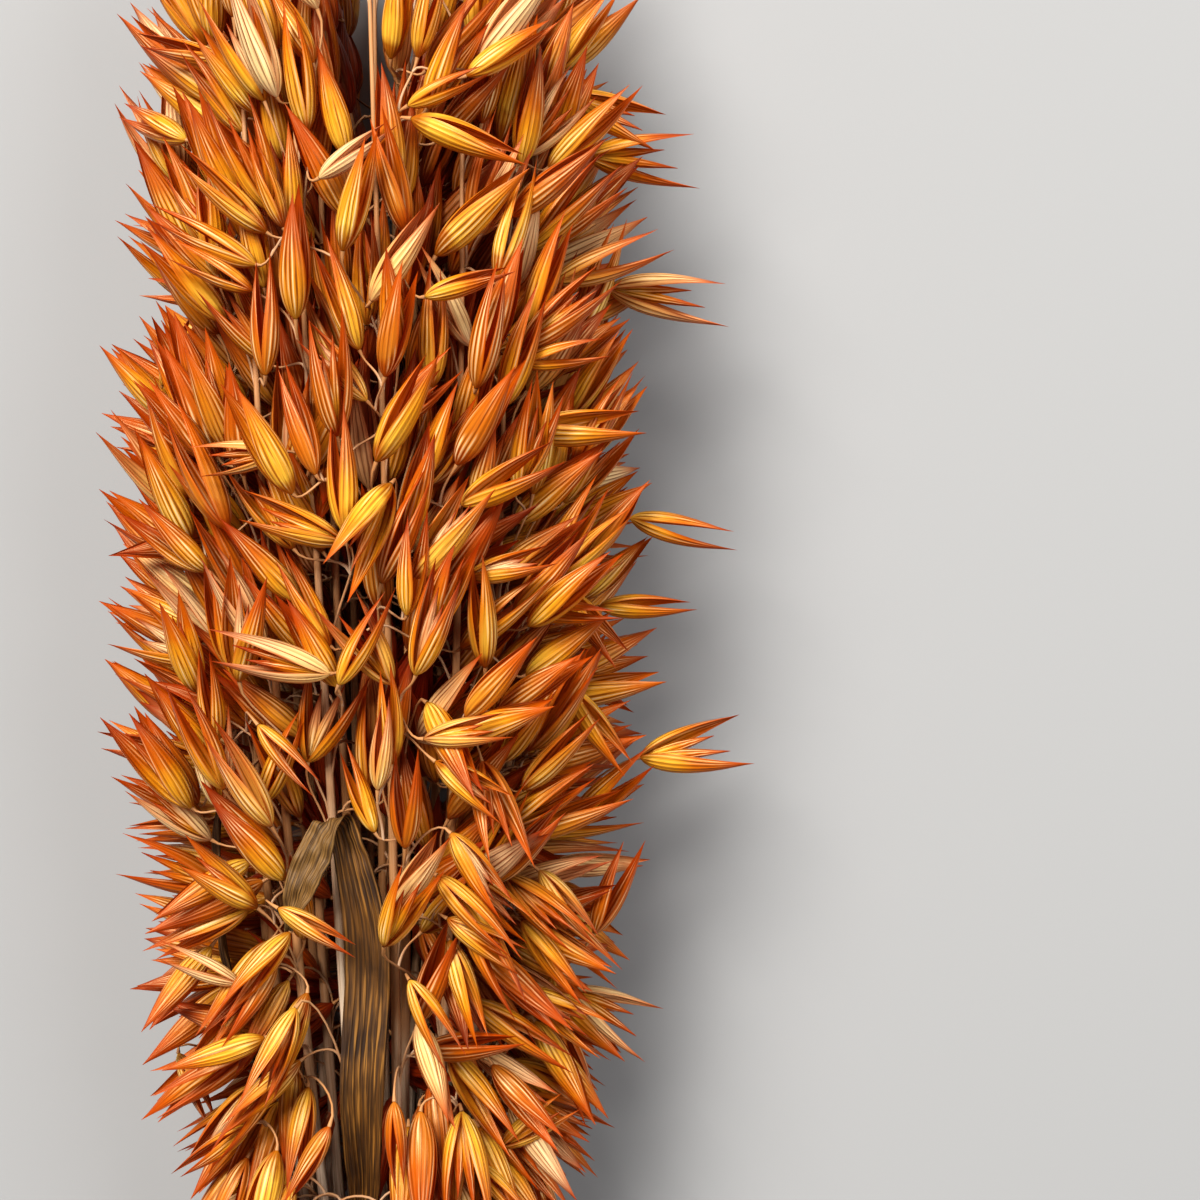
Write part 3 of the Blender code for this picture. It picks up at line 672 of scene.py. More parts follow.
@dataclass(frozen=True)
class HuskFinish:
    """Papery dyed husk: amber ribs between dark veins, redder to the tip and the edges."""

    name: str = "husk_paper"
    veins: float = 8.0
    along: Stops = (
        (0.0, (172, 108, 22)), (0.12, (238, 190, 68)), (0.42, (232, 160, 34)),
        (0.64, (204, 110, 8)), (0.84, (176, 72, 4)), (1.0, (142, 40, 2)))
    vein: Colour = (92, 32, 4)
    deep: Colour = (178, 68, 2)
    # Cream: the colour of paler husks, and on the ribs partly a painted highlight.
    pale: Colour = (255, 234, 182)
    fibres: Colour = (160, 80, 10)
    # Painted shade: multiplied onto the husks of oats deep in the bunch.
    inner: Colour = (176, 80, 34)
    glow: Colour = (214, 94, 4)
    sheen: Colour = (255, 230, 178)
    see_through: float = 0.2

    def paint(self) -> bpy.types.Material:
        """Make the material.

        Returns:
            The material.
        """
        p = Paint(self.name)
        u, v = p.grain()
        # inside: share of painted shade, more for oats deep in the bunch.
        tint, inside = p.tag(TINT), p.tag(UNDERSIDE_JOINT_AND_SHADE)
        fibre = p.noise(p.joined(u * 34.0, v * 2.6, tint * 40.0), 1.0, 3.0)
        patch = p.noise(p.joined(u * 5.5, v * 1.8, tint * 90.0), 1.0, 1.0)
        cloud = p.noise(None, 170.0, 2.0)
        other = (tint * 7.13).fraction()
        place = v + (tint - 0.5) * 0.30 + (cloud - 0.5) * 0.35
        colour = p.ramp(place, self.along)
        edge = abs(u * 2.0 - 1.0)
        rib = (u * self.veins + (fibre - 0.5) * 0.3 + (patch - 0.5) * 0.9).wave()
        fading = v.ease(0.0, 0.10) * (1.0 - v.ease(0.6, 0.95))
        line = (1.0 - rib).ease(0.68, 1.0) * fading * patch.ease(0.22, 0.6)
        colour = p.blend(other.ease(0.62, 0.95) * 0.7, colour, self.deep)
        colour = p.blend((1.0 - other.ease(0.03, 0.16)) * (1.0 - v.ease(0.5, 1.0)) * 0.7,
                         colour, self.pale)
        # Pale ribs: partly the husk's own paler ribs, partly painted highlight.
        colour = p.blend(rib.ease(0.5, 1.0) * fading * patch.ease(0.42, 0.68) * 0.68, colour,
                         self.pale)
        colour = p.blend(line * 0.85, colour, self.vein)
        colour = p.blend(edge.ease(0.72, 1.0) * 0.5, colour, self.deep)
        colour = p.blend((1.0 - fibre.ease(0.3, 0.6)) * 0.45, colour, self.fibres)
        # Painted shade: darken the oats deep in the bunch.
        colour = p.blend(inside, colour, self.inner, "MULTIPLY")
        height = rib * fading + fibre * 0.5
        body = p.node("ShaderNodeBsdfPrincipled", {}, {
            "Base Color": colour,
            "Roughness": 0.28 + fibre * 0.2,
            "Specular IOR Level": 0.6,
            "Specular Tint": shade(self.sheen),
            "Normal": p.relief(height, 0.00014, 0.7),
        })
        through = p.node("ShaderNodeBsdfTranslucent", {}, {"Color": shade(self.glow)})
        return p.done(p.node("ShaderNodeMixShader", {}, {
            0: self.see_through, 1: Wire(p, body.outputs[0]), 2: Wire(p, through.outputs[0])}))


@dataclass(frozen=True)
class StrawFinish:
    """Dry straw: grey-beige and streaked on the stems, taking the dye up in the branches."""

    name: str = "straw"
    bare: Colour = (196, 178, 156)
    streak: Colour = (112, 84, 64)
    dyed: Colour = (176, 122, 70)
    # Dark joints; also painted shade inside the straw's hollow cut mouth.
    joint: Colour = (90, 62, 38)

    def paint(self) -> bpy.types.Material:
        """Make the material.

        Returns:
            The material.
        """
        p = Paint(self.name)
        u, v = p.grain()
        dye = p.tag(DYE)
        joint = p.tag(UNDERSIDE_JOINT_AND_SHADE)
        fibre = p.noise(p.joined(u * 22.0, v * 6.0, dye * 3.0), 1.0, 3.0)
        cloud = p.noise(None, 60.0, 3.0)
        colour = p.blend(fibre.ease(0.4, 0.7) * 0.7, self.bare, self.streak)
        colour = p.blend(cloud.ease(0.5, 0.8) * 0.35, colour, self.streak)
        colour = p.blend((dye + (cloud - 0.5) * 0.5).ease(0.15, 0.95) * 0.9, colour, self.dyed)
        # Dark joints, and painted shade inside the hollow cut mouth.
        colour = p.blend(joint, colour, self.joint)
        body = p.node("ShaderNodeBsdfPrincipled", {}, {
            "Base Color": colour,
            "Roughness": 0.45 + fibre * 0.25,
            "Specular IOR Level": 0.35,
            "Normal": p.relief(fibre, 0.0001, 0.5),
        })
        return p.done(body)


@dataclass(frozen=True)
class LeafFinish:
    """Dry grass leaf: olive-brown, veined along, dull and paler underneath."""

    name: str = "dry_blade"
    veins: float = 17.0
    top: Colour = (98, 64, 24)
    patch: Colour = (46, 27, 11)
    ridge: Colour = (172, 122, 54)
    under: Colour = (122, 92, 50)

    def paint(self) -> bpy.types.Material:
        """Make the material.

        Returns:
            The material.
        """
        p = Paint(self.name)
        u, v = p.grain()
        under = p.tag(UNDERSIDE_JOINT_AND_SHADE)
        fibre = p.noise(p.joined(u * 46.0, v * 2.2, 0.0), 1.0, 3.0)
        broad = p.noise(p.joined(u * 9.0, v * 1.1, 3.0), 1.0, 2.0)
        cloud = p.noise(None, 70.0, 4.0)
        rib = (u * self.veins + (broad - 0.5) * 2.2 + (fibre - 0.5) * 0.5).wave()
        colour = p.blend(cloud.ease(0.42, 0.68), self.top, self.patch)
        colour = p.blend(rib.ease(0.45, 1.0) * broad.ease(0.3, 0.65) * 0.6, colour, self.ridge)
        colour = p.blend(under * 0.75, colour, self.under)
        colour = p.blend(fibre.ease(0.42, 0.62) * 0.8, colour, self.patch)
        body = p.node("ShaderNodeBsdfPrincipled", {}, {
            "Base Color": colour,
            "Roughness": 0.48 + fibre * 0.25,
            "Specular IOR Level": 0.35,
            "Normal": p.relief(rib + fibre * 0.6, 0.00025, 0.8),
        })
        return p.done(body)


@dataclass(frozen=True)
class TwineFinish:
    """Jute twine: tan plies with paler and darker fibres."""

    name: str = "jute"
    ground: Colour = (166, 128, 80)
    pale: Colour = (206, 176, 130)
    dark: Colour = (104, 74, 42)

    def paint(self) -> bpy.types.Material:
        """Make the material.

        Returns:
            The material.
        """
        p = Paint(self.name)
        u, v = p.grain()
        fibre = p.noise(p.joined(u * 9.0 + v * 40.0, v * 60.0, 0.0), 1.0, 4.0)
        cloud = p.noise(None, 240.0, 2.0)
        colour = p.blend(fibre.ease(0.5, 0.75), self.ground, self.pale)
        colour = p.blend((1.0 - cloud).ease(0.5, 0.75) * 0.6, colour, self.dark)
        body = p.node("ShaderNodeBsdfPrincipled", {}, {
            "Base Color": colour,
            "Roughness": 0.75 + fibre * 0.2,
            "Normal": p.relief(fibre, 0.0003, 0.7),
        })
        return p.done(body)


@dataclass(frozen=True)
class FloorFinish:
    """Plain pale surface."""

    name: str = "pale_floor"
    ground: Colour = (149, 149, 149)

    def paint(self) -> bpy.types.Material:
        """Make the material.

        Returns:
            The material.
        """
        p = Paint(self.name)
        body = p.node("ShaderNodeBsdfPrincipled", {}, {
            "Base Color": shade(self.ground), "Roughness": 0.9, "Specular IOR Level": 0.1})
        return p.done(body)


class Room:
    """What stands where, as rods, so that what is added keeps clear of it."""

    margin: float = 7.0
    tiny: float = 1e-9

    def __init__(self) -> None:
        """Start with nothing in the way."""
        self.start = np.zeros((0, 3))
        self.end = np.zeros((0, 3))
        self.radius = np.zeros(0)
        self.owner = np.zeros(0, int)
        self.husk = np.zeros(0, bool)

    def add(self, rods: list[Rod], owner: int) -> None:
        """Add rods.

        Args:
            rods: The rods.
            owner: Number of the stalk or leaf that they belong to.
        """
        self.start = np.vstack([self.start, as_rows(rod.start for rod in rods)])
        self.end = np.vstack([self.end, as_rows(rod.end for rod in rods)])
        self.radius = np.append(self.radius, [rod.radius for rod in rods])
        self.owner = np.append(self.owner, [owner] * len(rods))
        self.husk = np.append(self.husk, [rod.is_husk for rod in rods])

    def free(self, rods: list[Rod], owner: int, gap: float, shrink: float = 1.0) -> bool:
        """Whether rods stay clear of everything that isn't their owner's.

        Args:
            rods: The rods.
            owner: Number of what they belong to.
            gap: Clearance.
            shrink: Share of the rods' radii that counts.

        Returns:
            True if they are clear.
        """
        own_start, own_end = as_rows(rod.start for rod in rods), as_rows(rod.end for rod in rods)
        low = np.minimum(own_start, own_end).min(0) - self.margin
        high = np.maximum(own_start, own_end).max(0) + self.margin
        near = ((np.maximum(self.start, self.end) > low).all(1)
                & (np.minimum(self.start, self.end) < high).all(1))
        start, end = self.start[near], self.end[near]
        if not len(start):
            return True
        thick = np.array([rod.radius for rod in rods])[:, None] + self.radius[near][None]
        is_husk = np.array([rod.is_husk for rod in rods])[:, None]
        same, husk = self.owner[near][None] == owner, self.husk[near][None]
        way = end - start
        length = np.maximum((way * way).sum(1), self.tiny)[None]
        reach = own_end - own_start
        own = np.maximum((reach * reach).sum(1), self.tiny)[:, None]
        apart = own_start[:, None] - start[None]
        f = (way[None] * apart).sum(2)
        c = (apart * reach[:, None]).sum(2)
        mixed = reach @ way.T
        area = own * length - mixed * mixed
        s = np.clip(np.where(area > self.tiny, (mixed * f - c * length)
                             / np.maximum(area, self.tiny), 0.0), 0.0, 1.0)
        t = np.clip((mixed * s + f) / length, 0.0, 1.0)
        s = np.clip((mixed * t - c) / own, 0.0, 1.0)
        between = apart + s[..., None] * reach[:, None] - t[..., None] * way[None]
        distance = np.sqrt((between * between).sum(2))
        need = np.where(is_husk & same & husk, thick * 0.6, thick * shrink + gap)
        counted = ~same | (is_husk & husk)
        return not (counted & (distance < need)).any()


class Aim(NamedTuple):
    """How an oat lies: spread is the angle between its husks in degrees, roll its own turn."""

    base: Vector
    heading: Vector
    length: float
    spread: float
    roll: float


@dataclass
class Oat:
    """One oat: two husks on the end of the branch that it hangs from."""

    stalk: int
    curve: Curve
    base: Vector
    heading: Vector
    side: Vector
    length: float
    spread: float
    rods: list[Rod]
    fineness: Fineness = Fineness.OUTER
    # Share of painted shade on the husks, more the deeper the oat lies in the bunch.
    inside: float = 0.0
    last_bend: float = 7.0
    drawn: Curve = field(init=False)

    def __post_init__(self) -> None:
        """Tighten the branch's last bend, as on a thin branch that nods."""
        foot, leave, arrive, base = self.curve
        share = min(1.0, self.last_bend / (arrive - base).length)
        self.drawn = (foot, leave, base + (arrive - base) * share, base)


@dataclass(frozen=True)
class HuskForm:
    """Sizes of one husk, the papery boat that makes half of an oat's outside."""

    sized_for: float = 24.0
    half_width: float = 2.95
    half_depth: float = 2.7
    base_power: float = 0.62
    tip_power: float = 1.18
    second: float = 0.93
    wrap: float = math.radians(96)
    tip_wrap: float = math.radians(64)
    closed_spread: float = 3.0
    own_spread: float = 5.0
    second_scale: float = 0.96
    row_power: float = 1.2
    least_width: float = 0.012
    base_width: float = 0.12
    rib: float = 0.03
    seed_rows: int = 8
    seed_sides: int = 6
    seed_start: float = 0.06
    seed_radius: float = 1.3
    seed_base: float = 0.3
    seed_least: float = 0.05
    widest: float = field(init=False)

    def __post_init__(self) -> None:
        """Work out the outline's peak, so that it can be brought to 1."""
        peak = self.base_power / (self.base_power + self.tip_power)
        object.__setattr__(self, "widest",
                           peak ** self.base_power * (1 - peak) ** self.tip_power)

    def outline(self, v: np.ndarray) -> np.ndarray:
        """Share of the full width at places from the base, 0, to the tip, 1."""
        return v ** self.base_power * (1 - v) ** self.tip_power / self.widest

    def grid(self, oat: Oat, sign: float, bend: float, curl: float) -> tuple[np.ndarray,
                                                                            np.ndarray]:
        """Points of one husk.

        Args:
            oat: The oat that it is on.
            sign: 1 for the husk on the oat's side, -1 for the other.
            bend: Share of its length that its tip bends sideways.
            curl: Share of its length that its tip curls outwards.

        Returns:
            Array of rows, columns and coordinates, and the place of each row.
        """
        rows, columns = oat.fineness.value
        scale = oat.length / self.sized_for
        if sign < 0:
            scale *= self.second_scale
        v = np.linspace(0.0, 1.0, rows) ** self.row_power
        width = np.maximum(self.outline(np.clip(v, 0.0, 1.0)), self.least_width)
        width[0] = max(width[0], self.base_width)
        turn = 0.5 * math.radians(max(oat.spread - self.own_spread, self.closed_spread))
        heading, side = np.array(oat.heading), np.array(oat.side)
        front = np.cross(side, heading)
        way = turned(heading, side, sign * turn)
        out = side * (sign * math.cos(turn)) - heading * math.sin(turn)
        length = oat.length * (1.0 if sign > 0 else self.second)
        wrap = self.wrap + (self.tip_wrap - self.wrap) * v
        theta = np.linspace(-1, 1, columns)[None] * wrap[:, None]
        ripple = self.rib * np.where(np.arange(columns) % 2, 1.0, -1.0)[None]
        ripple = ripple * np.minimum(width, 1.0)[:, None]
        deep = self.half_depth * scale * width[:, None] + ripple
        wide = self.half_width * scale * width[:, None] + ripple
        middle = (np.array(oat.base)[None] + way[None] * (length * v)[:, None]
                  + front[None] * (bend * length * v ** 2)[:, None]
                  + out[None] * (curl * length * v ** 3)[:, None])
        points = (middle[:, None] + out[None, None] * (deep * np.cos(theta))[..., None]
                  + front[None, None] * (wide * np.sin(theta))[..., None])
        return points, v

    def seed_grid(self, oat: Oat, lean: float, size: float) -> np.ndarray:
        """Points of a slim inner seed, seen where the husks part.

        Args:
            oat: The oat that it is in.
            lean: Angle from the oat's heading towards its side.
            size: Share of the oat's length.

        Returns:
            Array of rows, columns and coordinates.
        """
        v = np.linspace(0.0, 1.0, self.seed_rows)
        heading, side = np.array(oat.heading), np.array(oat.side)
        way = turned(heading, side, lean)
        reach = oat.length * (self.seed_start + size * v)
        line = np.array(oat.base)[None] + way[None] * reach[:, None]
        outline = np.maximum(self.outline(np.clip(v, 0.0, 1.0)), self.seed_least)
        radii = self.seed_radius * outline
        radii[0] = self.seed_base
        return rings_round(line, radii, self.seed_sides, np.cross(heading, side))


@dataclass
class Stalk:
    """One stalk: its stem from cut end to tip, its branches and its oats."""

    form: BunchForm
    number: int
    reach: float
    angle: float
    sway: tuple[float, float]
    butt: float
    top: float
    load: int = 0
    radius: float = 1.4
    neck_radius: float = 0.95
    tip_radius: float = 0.42
    neck_y: float = -150.0
    rest: float = 1.1
    first_branch: float = -158.0
    last_branch: float = 5.0
    stations: tuple[float, ...] = (-300.0, -242.0, -228.0, -180.0, -130.0, -80.0, -30.0)
    fade: float = 90.0
    front_fade: float = 200.0
    sides: int = 8
    step: float = 5.0
    joint_length: float = 2.4
    joint_swell: float = 0.22
    joint_dark: float = 0.75
    branch_steps: int = 8
    branch_sides: int = 5
    parted: float = 18.0
    oats: list[Oat] = field(default_factory=list)
    path: list[tuple[Vector, float]] = field(init=False)

    def __post_init__(self) -> None:
        """Lay the stations of the stem from its cut end to its tip."""
        last = self.stations[-1]
        places = [self.butt, *self.stations]
        places += [last + (self.top - last) * k / 3 for k in (1, 2, 3)]
        self.path = [(self.point(y), self.thickness(y)) for y in places]

    def point(self, y: float) -> Vector:
        """Centre of the stem's smooth line.

        Args:
            y: Place along the bunch.

        Returns:
            The centre there.
        """
        form = self.form
        reach = self.reach * form.fan.at(y)
        angle = self.angle + form.twist * (y - form.tie)
        drift = min(max((y + 170.0) / 300.0, 0.0), 1.0) ** 1.5
        x = reach * math.cos(angle) + drift * self.sway[0]
        z = form.axis_height.at(y) + reach * math.sin(angle) + drift * self.sway[1]
        return Vector((x, y, form.pressed(z, y, self.rest)))

    def thickness(self, y: float) -> float:
        """Radius of the stem: stout at the butt, thin where its oats end.

        Args:
            y: Place along the bunch.

        Returns:
            The radius there.
        """
        start = self.neck_radius + 0.25
        if y < self.neck_y:
            t = (y - self.butt) / (self.neck_y - self.butt)
            return self.radius + (start - self.radius) * max(t, 0.0) ** 2
        t = (y - self.neck_y) / (self.top - self.neck_y)
        return start + (self.tip_radius - start) * t

    def centre(self, y: float) -> Vector:
        """Centre of the stem, straight from station to station.

        Args:
            y: Place along the bunch.

        Returns:
            The centre there.
        """
        for (low, _), (high, _) in zip(self.path, self.path[1:]):
            if y <= high.y:
                break
        return low.lerp(high, min(max((y - low.y) / (high.y - low.y), 0.0), 1.0))

    def hang(self, aim: Aim, rise: float) -> Oat:
        """An oat on a branch: from the stem, up and over to the oat, then outward.

        Args:
            aim: How it lies.
            rise: How far below the oat the branch leaves the stem.

        Returns:
            The oat.
        """
        y = min(max(aim.base.y - rise, self.first_branch), self.top - self.last_branch)
        foot = self.centre(y)
        curve = branch(foot, aim, (aim.base - foot).length, 0.42, 0.12, 2.0)
        return make_oat(self.number, curve, aim)

    def lay_stem(self, cloth: Cloth, rng: random.Random) -> None:
        """Add the stem to a piece: a hollow straw with joints, rounded at its stations.

        Args:
            cloth: The piece.
            rng: Random numbers for the joints' places.
        """
        places = np.arange(self.butt, self.top, self.step)
        places = np.append(places, self.top)
        joints = (self.butt + rng.uniform(22, 60), -175.0 + rng.uniform(-12, 22))
        line, radii, dark = [], [], []
        for y in places:
            ends = [self.centre(min(max(y + step, self.butt), self.top)) for step in (-4, 0, 4)]
            line.append((ends[0] + ends[1] + ends[2]) / 3)
            swell = sum(math.exp(-((y - joint) / self.joint_length) ** 2) for joint in joints)
            radii.append(self.thickness(y) * (1 + self.joint_swell * swell))
            dark.append(self.joint_dark * swell)
        line[0], line[-1] = self.path[0][0], self.path[-1][0]
        line, radii = as_rows(line), np.array(radii)
        mouth = line[0] + np.array([[0, 5.0, 0], [0, 5.0, 0], [0, 0, 0], [0, 0, 0]])
        mouth_radii = radii[0] * np.array([0.05, 0.62, 0.68, 0.97])
        reference = np.array(UPWARD)
        grid = rings_round(line, radii, self.sides, reference)
        start = rings_round(line[:2], radii[:1].repeat(2), self.sides, reference)[0] - line[0]
        rings = [mouth[k] + start * (mouth_radii[k] / radii[0]) for k in range(4)]
        grid = np.concatenate([np.array(rings), grid])
        shown = self.front_fade if self.number == FRONT_STALK else self.fade
        dye = np.clip((np.concatenate([[self.butt] * 4, places]) + 150.0) / shown, 0.0, 0.85)
        # Painted shade in the four mouth rings, darkest deep inside; then the joints' darkening.
        dark = np.clip(np.array([1.0, 0.9, 0.35, 0.1] + dark), 0.0, 1.0)
        along = np.concatenate([[0.0] * 4, (places - self.butt) / 100.0])
        cloth.lay(grid, 1, True, along, **{DYE: dye[:, None], UNDERSIDE_JOINT_AND_SHADE: dark[:, None]})

    def lay_branch(self, cloth: Cloth, oat: Oat) -> None:
        """Add an oat's branch to a piece.

        Args:
            cloth: The piece.
            oat: The oat.
        """
        steps = self.branch_steps
        line = as_rows(bezier(oat.drawn, k / steps) for k in range(steps + 1))
        chord, bow = line[-1] - line[0], line[steps // 2] - line[0]
        reference = np.cross(bow, chord)
        if np.linalg.norm(reference) < 1e-3:
            reference = np.cross(chord, (0.3, 0.2, 0.9))
        t = np.linspace(0, 1, steps + 1)
        radii = 0.34 - 0.12 * t + 0.30 * np.exp(-((1 - t) * 9) ** 2)
        cloth.lay(rings_round(line, radii, self.branch_sides, unit(reference)), 1, True,
                  line[:, 1] / 100.0, **{DYE: (0.55 + 0.4 * t)[:, None]})

    def lay_oat(self, cloth: Cloth, oat: Oat, husk: HuskForm, rng: random.Random) -> None:
        """Add an oat to a piece: two husks, and seeds where they part.

        Args:
            cloth: The piece.
            oat: The oat.
            husk: Sizes of its husks.
            rng: Random numbers for its bends and colour.
        """
        tint = rng.random()
        # The husks and seeds carry the oat's share of painted shade.
        for sign in (1.0, -1.0):
            grid, along = husk.grid(oat, sign, rng.gauss(0, 0.022), rng.uniform(-0.01, 0.05))
            cloth.lay(grid, 0, False, along, **{TINT: tint, UNDERSIDE_JOINT_AND_SHADE: oat.inside})
        if oat.spread >= self.parted:
            half = 0.5 * math.radians(oat.spread)
            for lean, size in ((half * 0.35, 0.72), (-half * 0.45, 0.6)):
                cloth.lay(husk.seed_grid(oat, lean, size), 0, True, None,
                          **{TINT: 0.5 + 0.4 * tint, UNDERSIDE_JOINT_AND_SHADE: oat.inside})

    def build(self, husk: HuskForm, finishes: list[bpy.types.Material],
              rng: random.Random) -> bpy.types.Object:
        """Make the stalk's piece and dress it.

        Args:
            husk: Sizes of its husks.
            finishes: Materials of the husks and of the straw.
            rng: Random numbers for the oats.

        Returns:
            The piece.
        """
        cloth = Cloth(f"oat_stalk_{self.number + 1:02d}")
        for oat in self.oats:
            self.lay_oat(cloth, oat, husk, rng)
            self.lay_branch(cloth, oat)
        self.lay_stem(cloth, rng)
        piece = cloth.cut(finishes)
        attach(piece, "root")
        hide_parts(f"stalk_{self.number + 1:02d}")
        return piece


def branch(foot: Vector, aim: Aim, span: float, ahead: float, lean: float,
           run: float) -> Curve:
    """Curve of a branch that leaves its foot along the bunch and nods to its oat.

    Args:
        foot: Where it starts.
        aim: How its oat lies.
        span: Distance between the two.
        ahead: Share of it that the branch first runs along the bunch.
        lean: Share of it that the branch first leans to the oat.
        run: Length that it comes to the oat straight, apart from what its span adds.

    Returns:
        The curve's control points.
    """
    leave = foot + FORWARD * span * ahead + (aim.base - foot) * lean
    arrive = aim.base - aim.heading * (span * 0.3 + run)
    arrive.z = max(arrive.z, 1.0)
    return foot, leave, arrive, aim.base


def make_oat(stalk: int, curve: Curve, aim: Aim) -> Oat:
    """An oat at the end of a branch, with the rods that stand for it.

    Args:
        stalk: Number of its stalk.
        curve: Control points of its branch.
        aim: How it lies.

    Returns:
        The oat.
    """
    base, heading, length, spread, roll = aim
    steps = 2 if heading.y > 0.1 else 3
    path = [bezier(curve, k / steps) for k in range(steps + 1)]
    first = across(heading, Vector((0.13, 0.21, 0.97)))
    side = turned(first, heading.cross(first), roll)
    belly = base + heading * (length * 0.3)
    rods = []
    for k in range(steps):
        start = path[k] if k else path[0].lerp(path[1], 0.25)
        rods.append(Rod(start, path[k + 1], 0.42, False))
    rods.append(Rod(base, belly, 2.2, True))
    for sign in (1.0, -1.0):
        turn = 0.5 * math.radians(spread)
        way = turned(heading, side, sign * turn)
        tip = base + way * length * (1.0 if sign > 0 else 0.93)
        middle = belly.lerp(tip, 0.5) + side * (sign * 0.7)
        rods.append(Rod(belly + side * sign * 0.9, middle, 1.9, True))
        rods.append(Rod(middle, tip, 0.9, True))
    return Oat(stalk, curve, base, heading, side, length, spread, rods)


@dataclass
class Leaf:
    """A dry leaf: a sheath round its stalk, then a blade along its own line."""

    form: LeafForm
    thickness: float = 0.7
    shown_thickness: float = 0.3
    columns: int = 5
    shown_columns: int = 15
    wrap: float = math.radians(112)
    clearance: float = 0.55
    flag_stalk: int = FRONT_STALK
    strip_stalk: int = 15
    pressed_stalk: int = 19
    rows: list[Row] = field(default_factory=list)

    def sheath(self, stalk: Stalk, outward: Vector, start: float, end: float,
               count: int) -> list[Row]:
        """Rows of the sheath: a band bent round the stalk.

        Args:
            stalk: The stalk.
            outward: Direction of the sheath's middle.
            start: Where it starts along the bunch.
            end: Where it ends.
            count: Number of rows.

        Returns:
            The rows.
        """
        made = []
        for k in range(count):
            y = start + (end - start) * k / (count - 1)
            centre = stalk.centre(y)
            way = (stalk.centre(y + 1) - centre).normalized()
            out = across(way, outward)
            side = way.cross(out)
            reach = stalk.thickness(y) + self.clearance + self.thickness / 2
            wrap = self.wrap * (0.86 + 0.14 * k / (count - 1))
            row = []
            for c in range(self.columns):
                turn = wrap * (2 * c / (self.columns - 1) - 1)
                normal = turned(out, side, turn)
                row.append((centre + normal * reach, normal))
            made.append(row)
        return made

    def blade(self, line: list[Vector], sides: list[Vector], widths: list[float],
              keel: list[float]) -> list[Row]:
        """Rows of the blade along a line, folded a little along its middle.

        Args:
            line: Points of the blade's middle.
            sides: Direction across the blade at each.
            widths: Half its width at each.
            keel: How sharply it is folded at each.

        Returns:
            The rows.
        """
        made = []
        for k, centre in enumerate(line):
            before, after = line[max(k - 1, 0)], line[min(k + 1, len(line) - 1)]
            way = (after - before).normalized()
            side = across(way, sides[k])
            out = side.cross(way)
            row = []
            for c in range(self.columns):
                u = 2 * c / (self.columns - 1) - 1
                fold = keel[k] * (0.5 - abs(u))
                point = centre + side * (u * widths[k]) - out * (widths[k] * fold)
                lean = 1 if u > 0 else -1 if u < 0 else 0
                row.append((point, (out - side * (keel[k] * lean)).normalized()))
            made.append(row)
        return made

    def plan(self, stalks: list[Stalk]) -> None:
        """Work out the leaf's rows from the stalk that carries it.

        Args:
            stalks: All the stalks.
        """
        shapers = {LeafForm.FLAG: self.plan_flag, LeafForm.STRIP: self.plan_strip,
                   LeafForm.PRESSED: self.plan_pressed}
        self.rows = shapers[self.form](stalks)

    def plan_flag(self, stalks: list[Stalk]) -> list[Row]:
        """The folded leaf in front: up beside its stalk, over, and back down to the left.

        Args:
            stalks: All the stalks.

        Returns:
            The leaf's rows.
        """
        stalk = stalks[self.flag_stalk]
        rows = self.sheath(stalk, UPWARD, -163.0, -142.0, 3)
        lead = stalk.point(-128.0)
        high = stalk.point(-45.0).z + 4.5
        spine = [
            lead + Vector((2.0, 0.0, 3.4)),
            Vector((-1.2, -104.0, 0.6 * high + 0.4 * lead.z + 2.5)),
            Vector((0.2, -80.0, high - 3.6)),
            Vector((-0.6, -64.0, high - 0.6)),
            Vector((-4.2, -48.0, high + 0.6)),
        ]
        up = smooth_line(spine, 2)
        crest = up[-1]
        bend = [crest + Vector((-0.9, 1.7, 0.9)), crest + Vector((-2.2, 2.2, 2.8)),
                crest + Vector((-3.4, 0.9, 4.5))]
        back = [crest + Vector((-5.0, -3.0, 5.0)), crest + Vector((-7.4, -8.5, 5.2)),
                crest + Vector((-9.6, -14.5, 4.6)), crest + Vector((-11.2, -20.5, 2.6))]
        line = up + bend + back
        sides = []
        for k in range(len(line)):
            side = Vector((1, 0, 0))
            if k >= len(up) - 1:
                side = Vector((0.86, 0.42, 0.0))
            if k >= len(up) + len(bend):
                side = Vector((0.82, -0.5, 0.12))
            sides.append(side)
        widths = [3.2, 4.0, 4.6, 4.8, 4.8, 4.7, 4.4, 3.7, 3.0, 2.9, 3.0, 3.2, 3.5, 3.6, 2.6,
                  0.7]
        keel = [0.35, 0.25, 0.2, 0.18, 0.16, 0.16, 0.2, 0.24, 0.2, 0.05, 0.0, -0.05, -0.15,
                -0.2, -0.2, -0.1]
        return rows + self.blade(line, sides, widths, keel)

    def plan_strip(self, stalks: list[Stalk]) -> list[Row]:
        """The narrow leaf on the left, seen nearly edge-on.

        Args:
            stalks: All the stalks.

        Returns:
            The leaf's rows.
        """
        stalk = stalks[self.strip_stalk]
        middle = Vector((0, -120.0, stalk.form.axis_height.at(-120.0)))
        rows = self.sheath(stalk, stalk.point(-120.0) - middle, -160.0, -141.0, 3)
        lead = stalk.point(-126.0)
        spine = [lead + Vector((-3.9, 0, 2.2)), lead + Vector((-7.5, 22, 8.0)),
                 Vector((-33.0, -78.0, lead.z + 15.0)), Vector((-34.5, -58.0, lead.z + 17.0)),
                 Vector((-34.0, -42.0, lead.z + 16.0))]
        line = smooth_line(spine, 2)
        last = len(line) - 1
        widths = [2.4 + 1.0 * math.sin(math.pi * k / last) for k in range(last + 1)]
        widths[-1] = 0.6
        sides = [Vector((0.35, 0.0, 0.94)) for _ in line]
        return rows + self.blade(line, sides, widths, [0.3] * len(line))

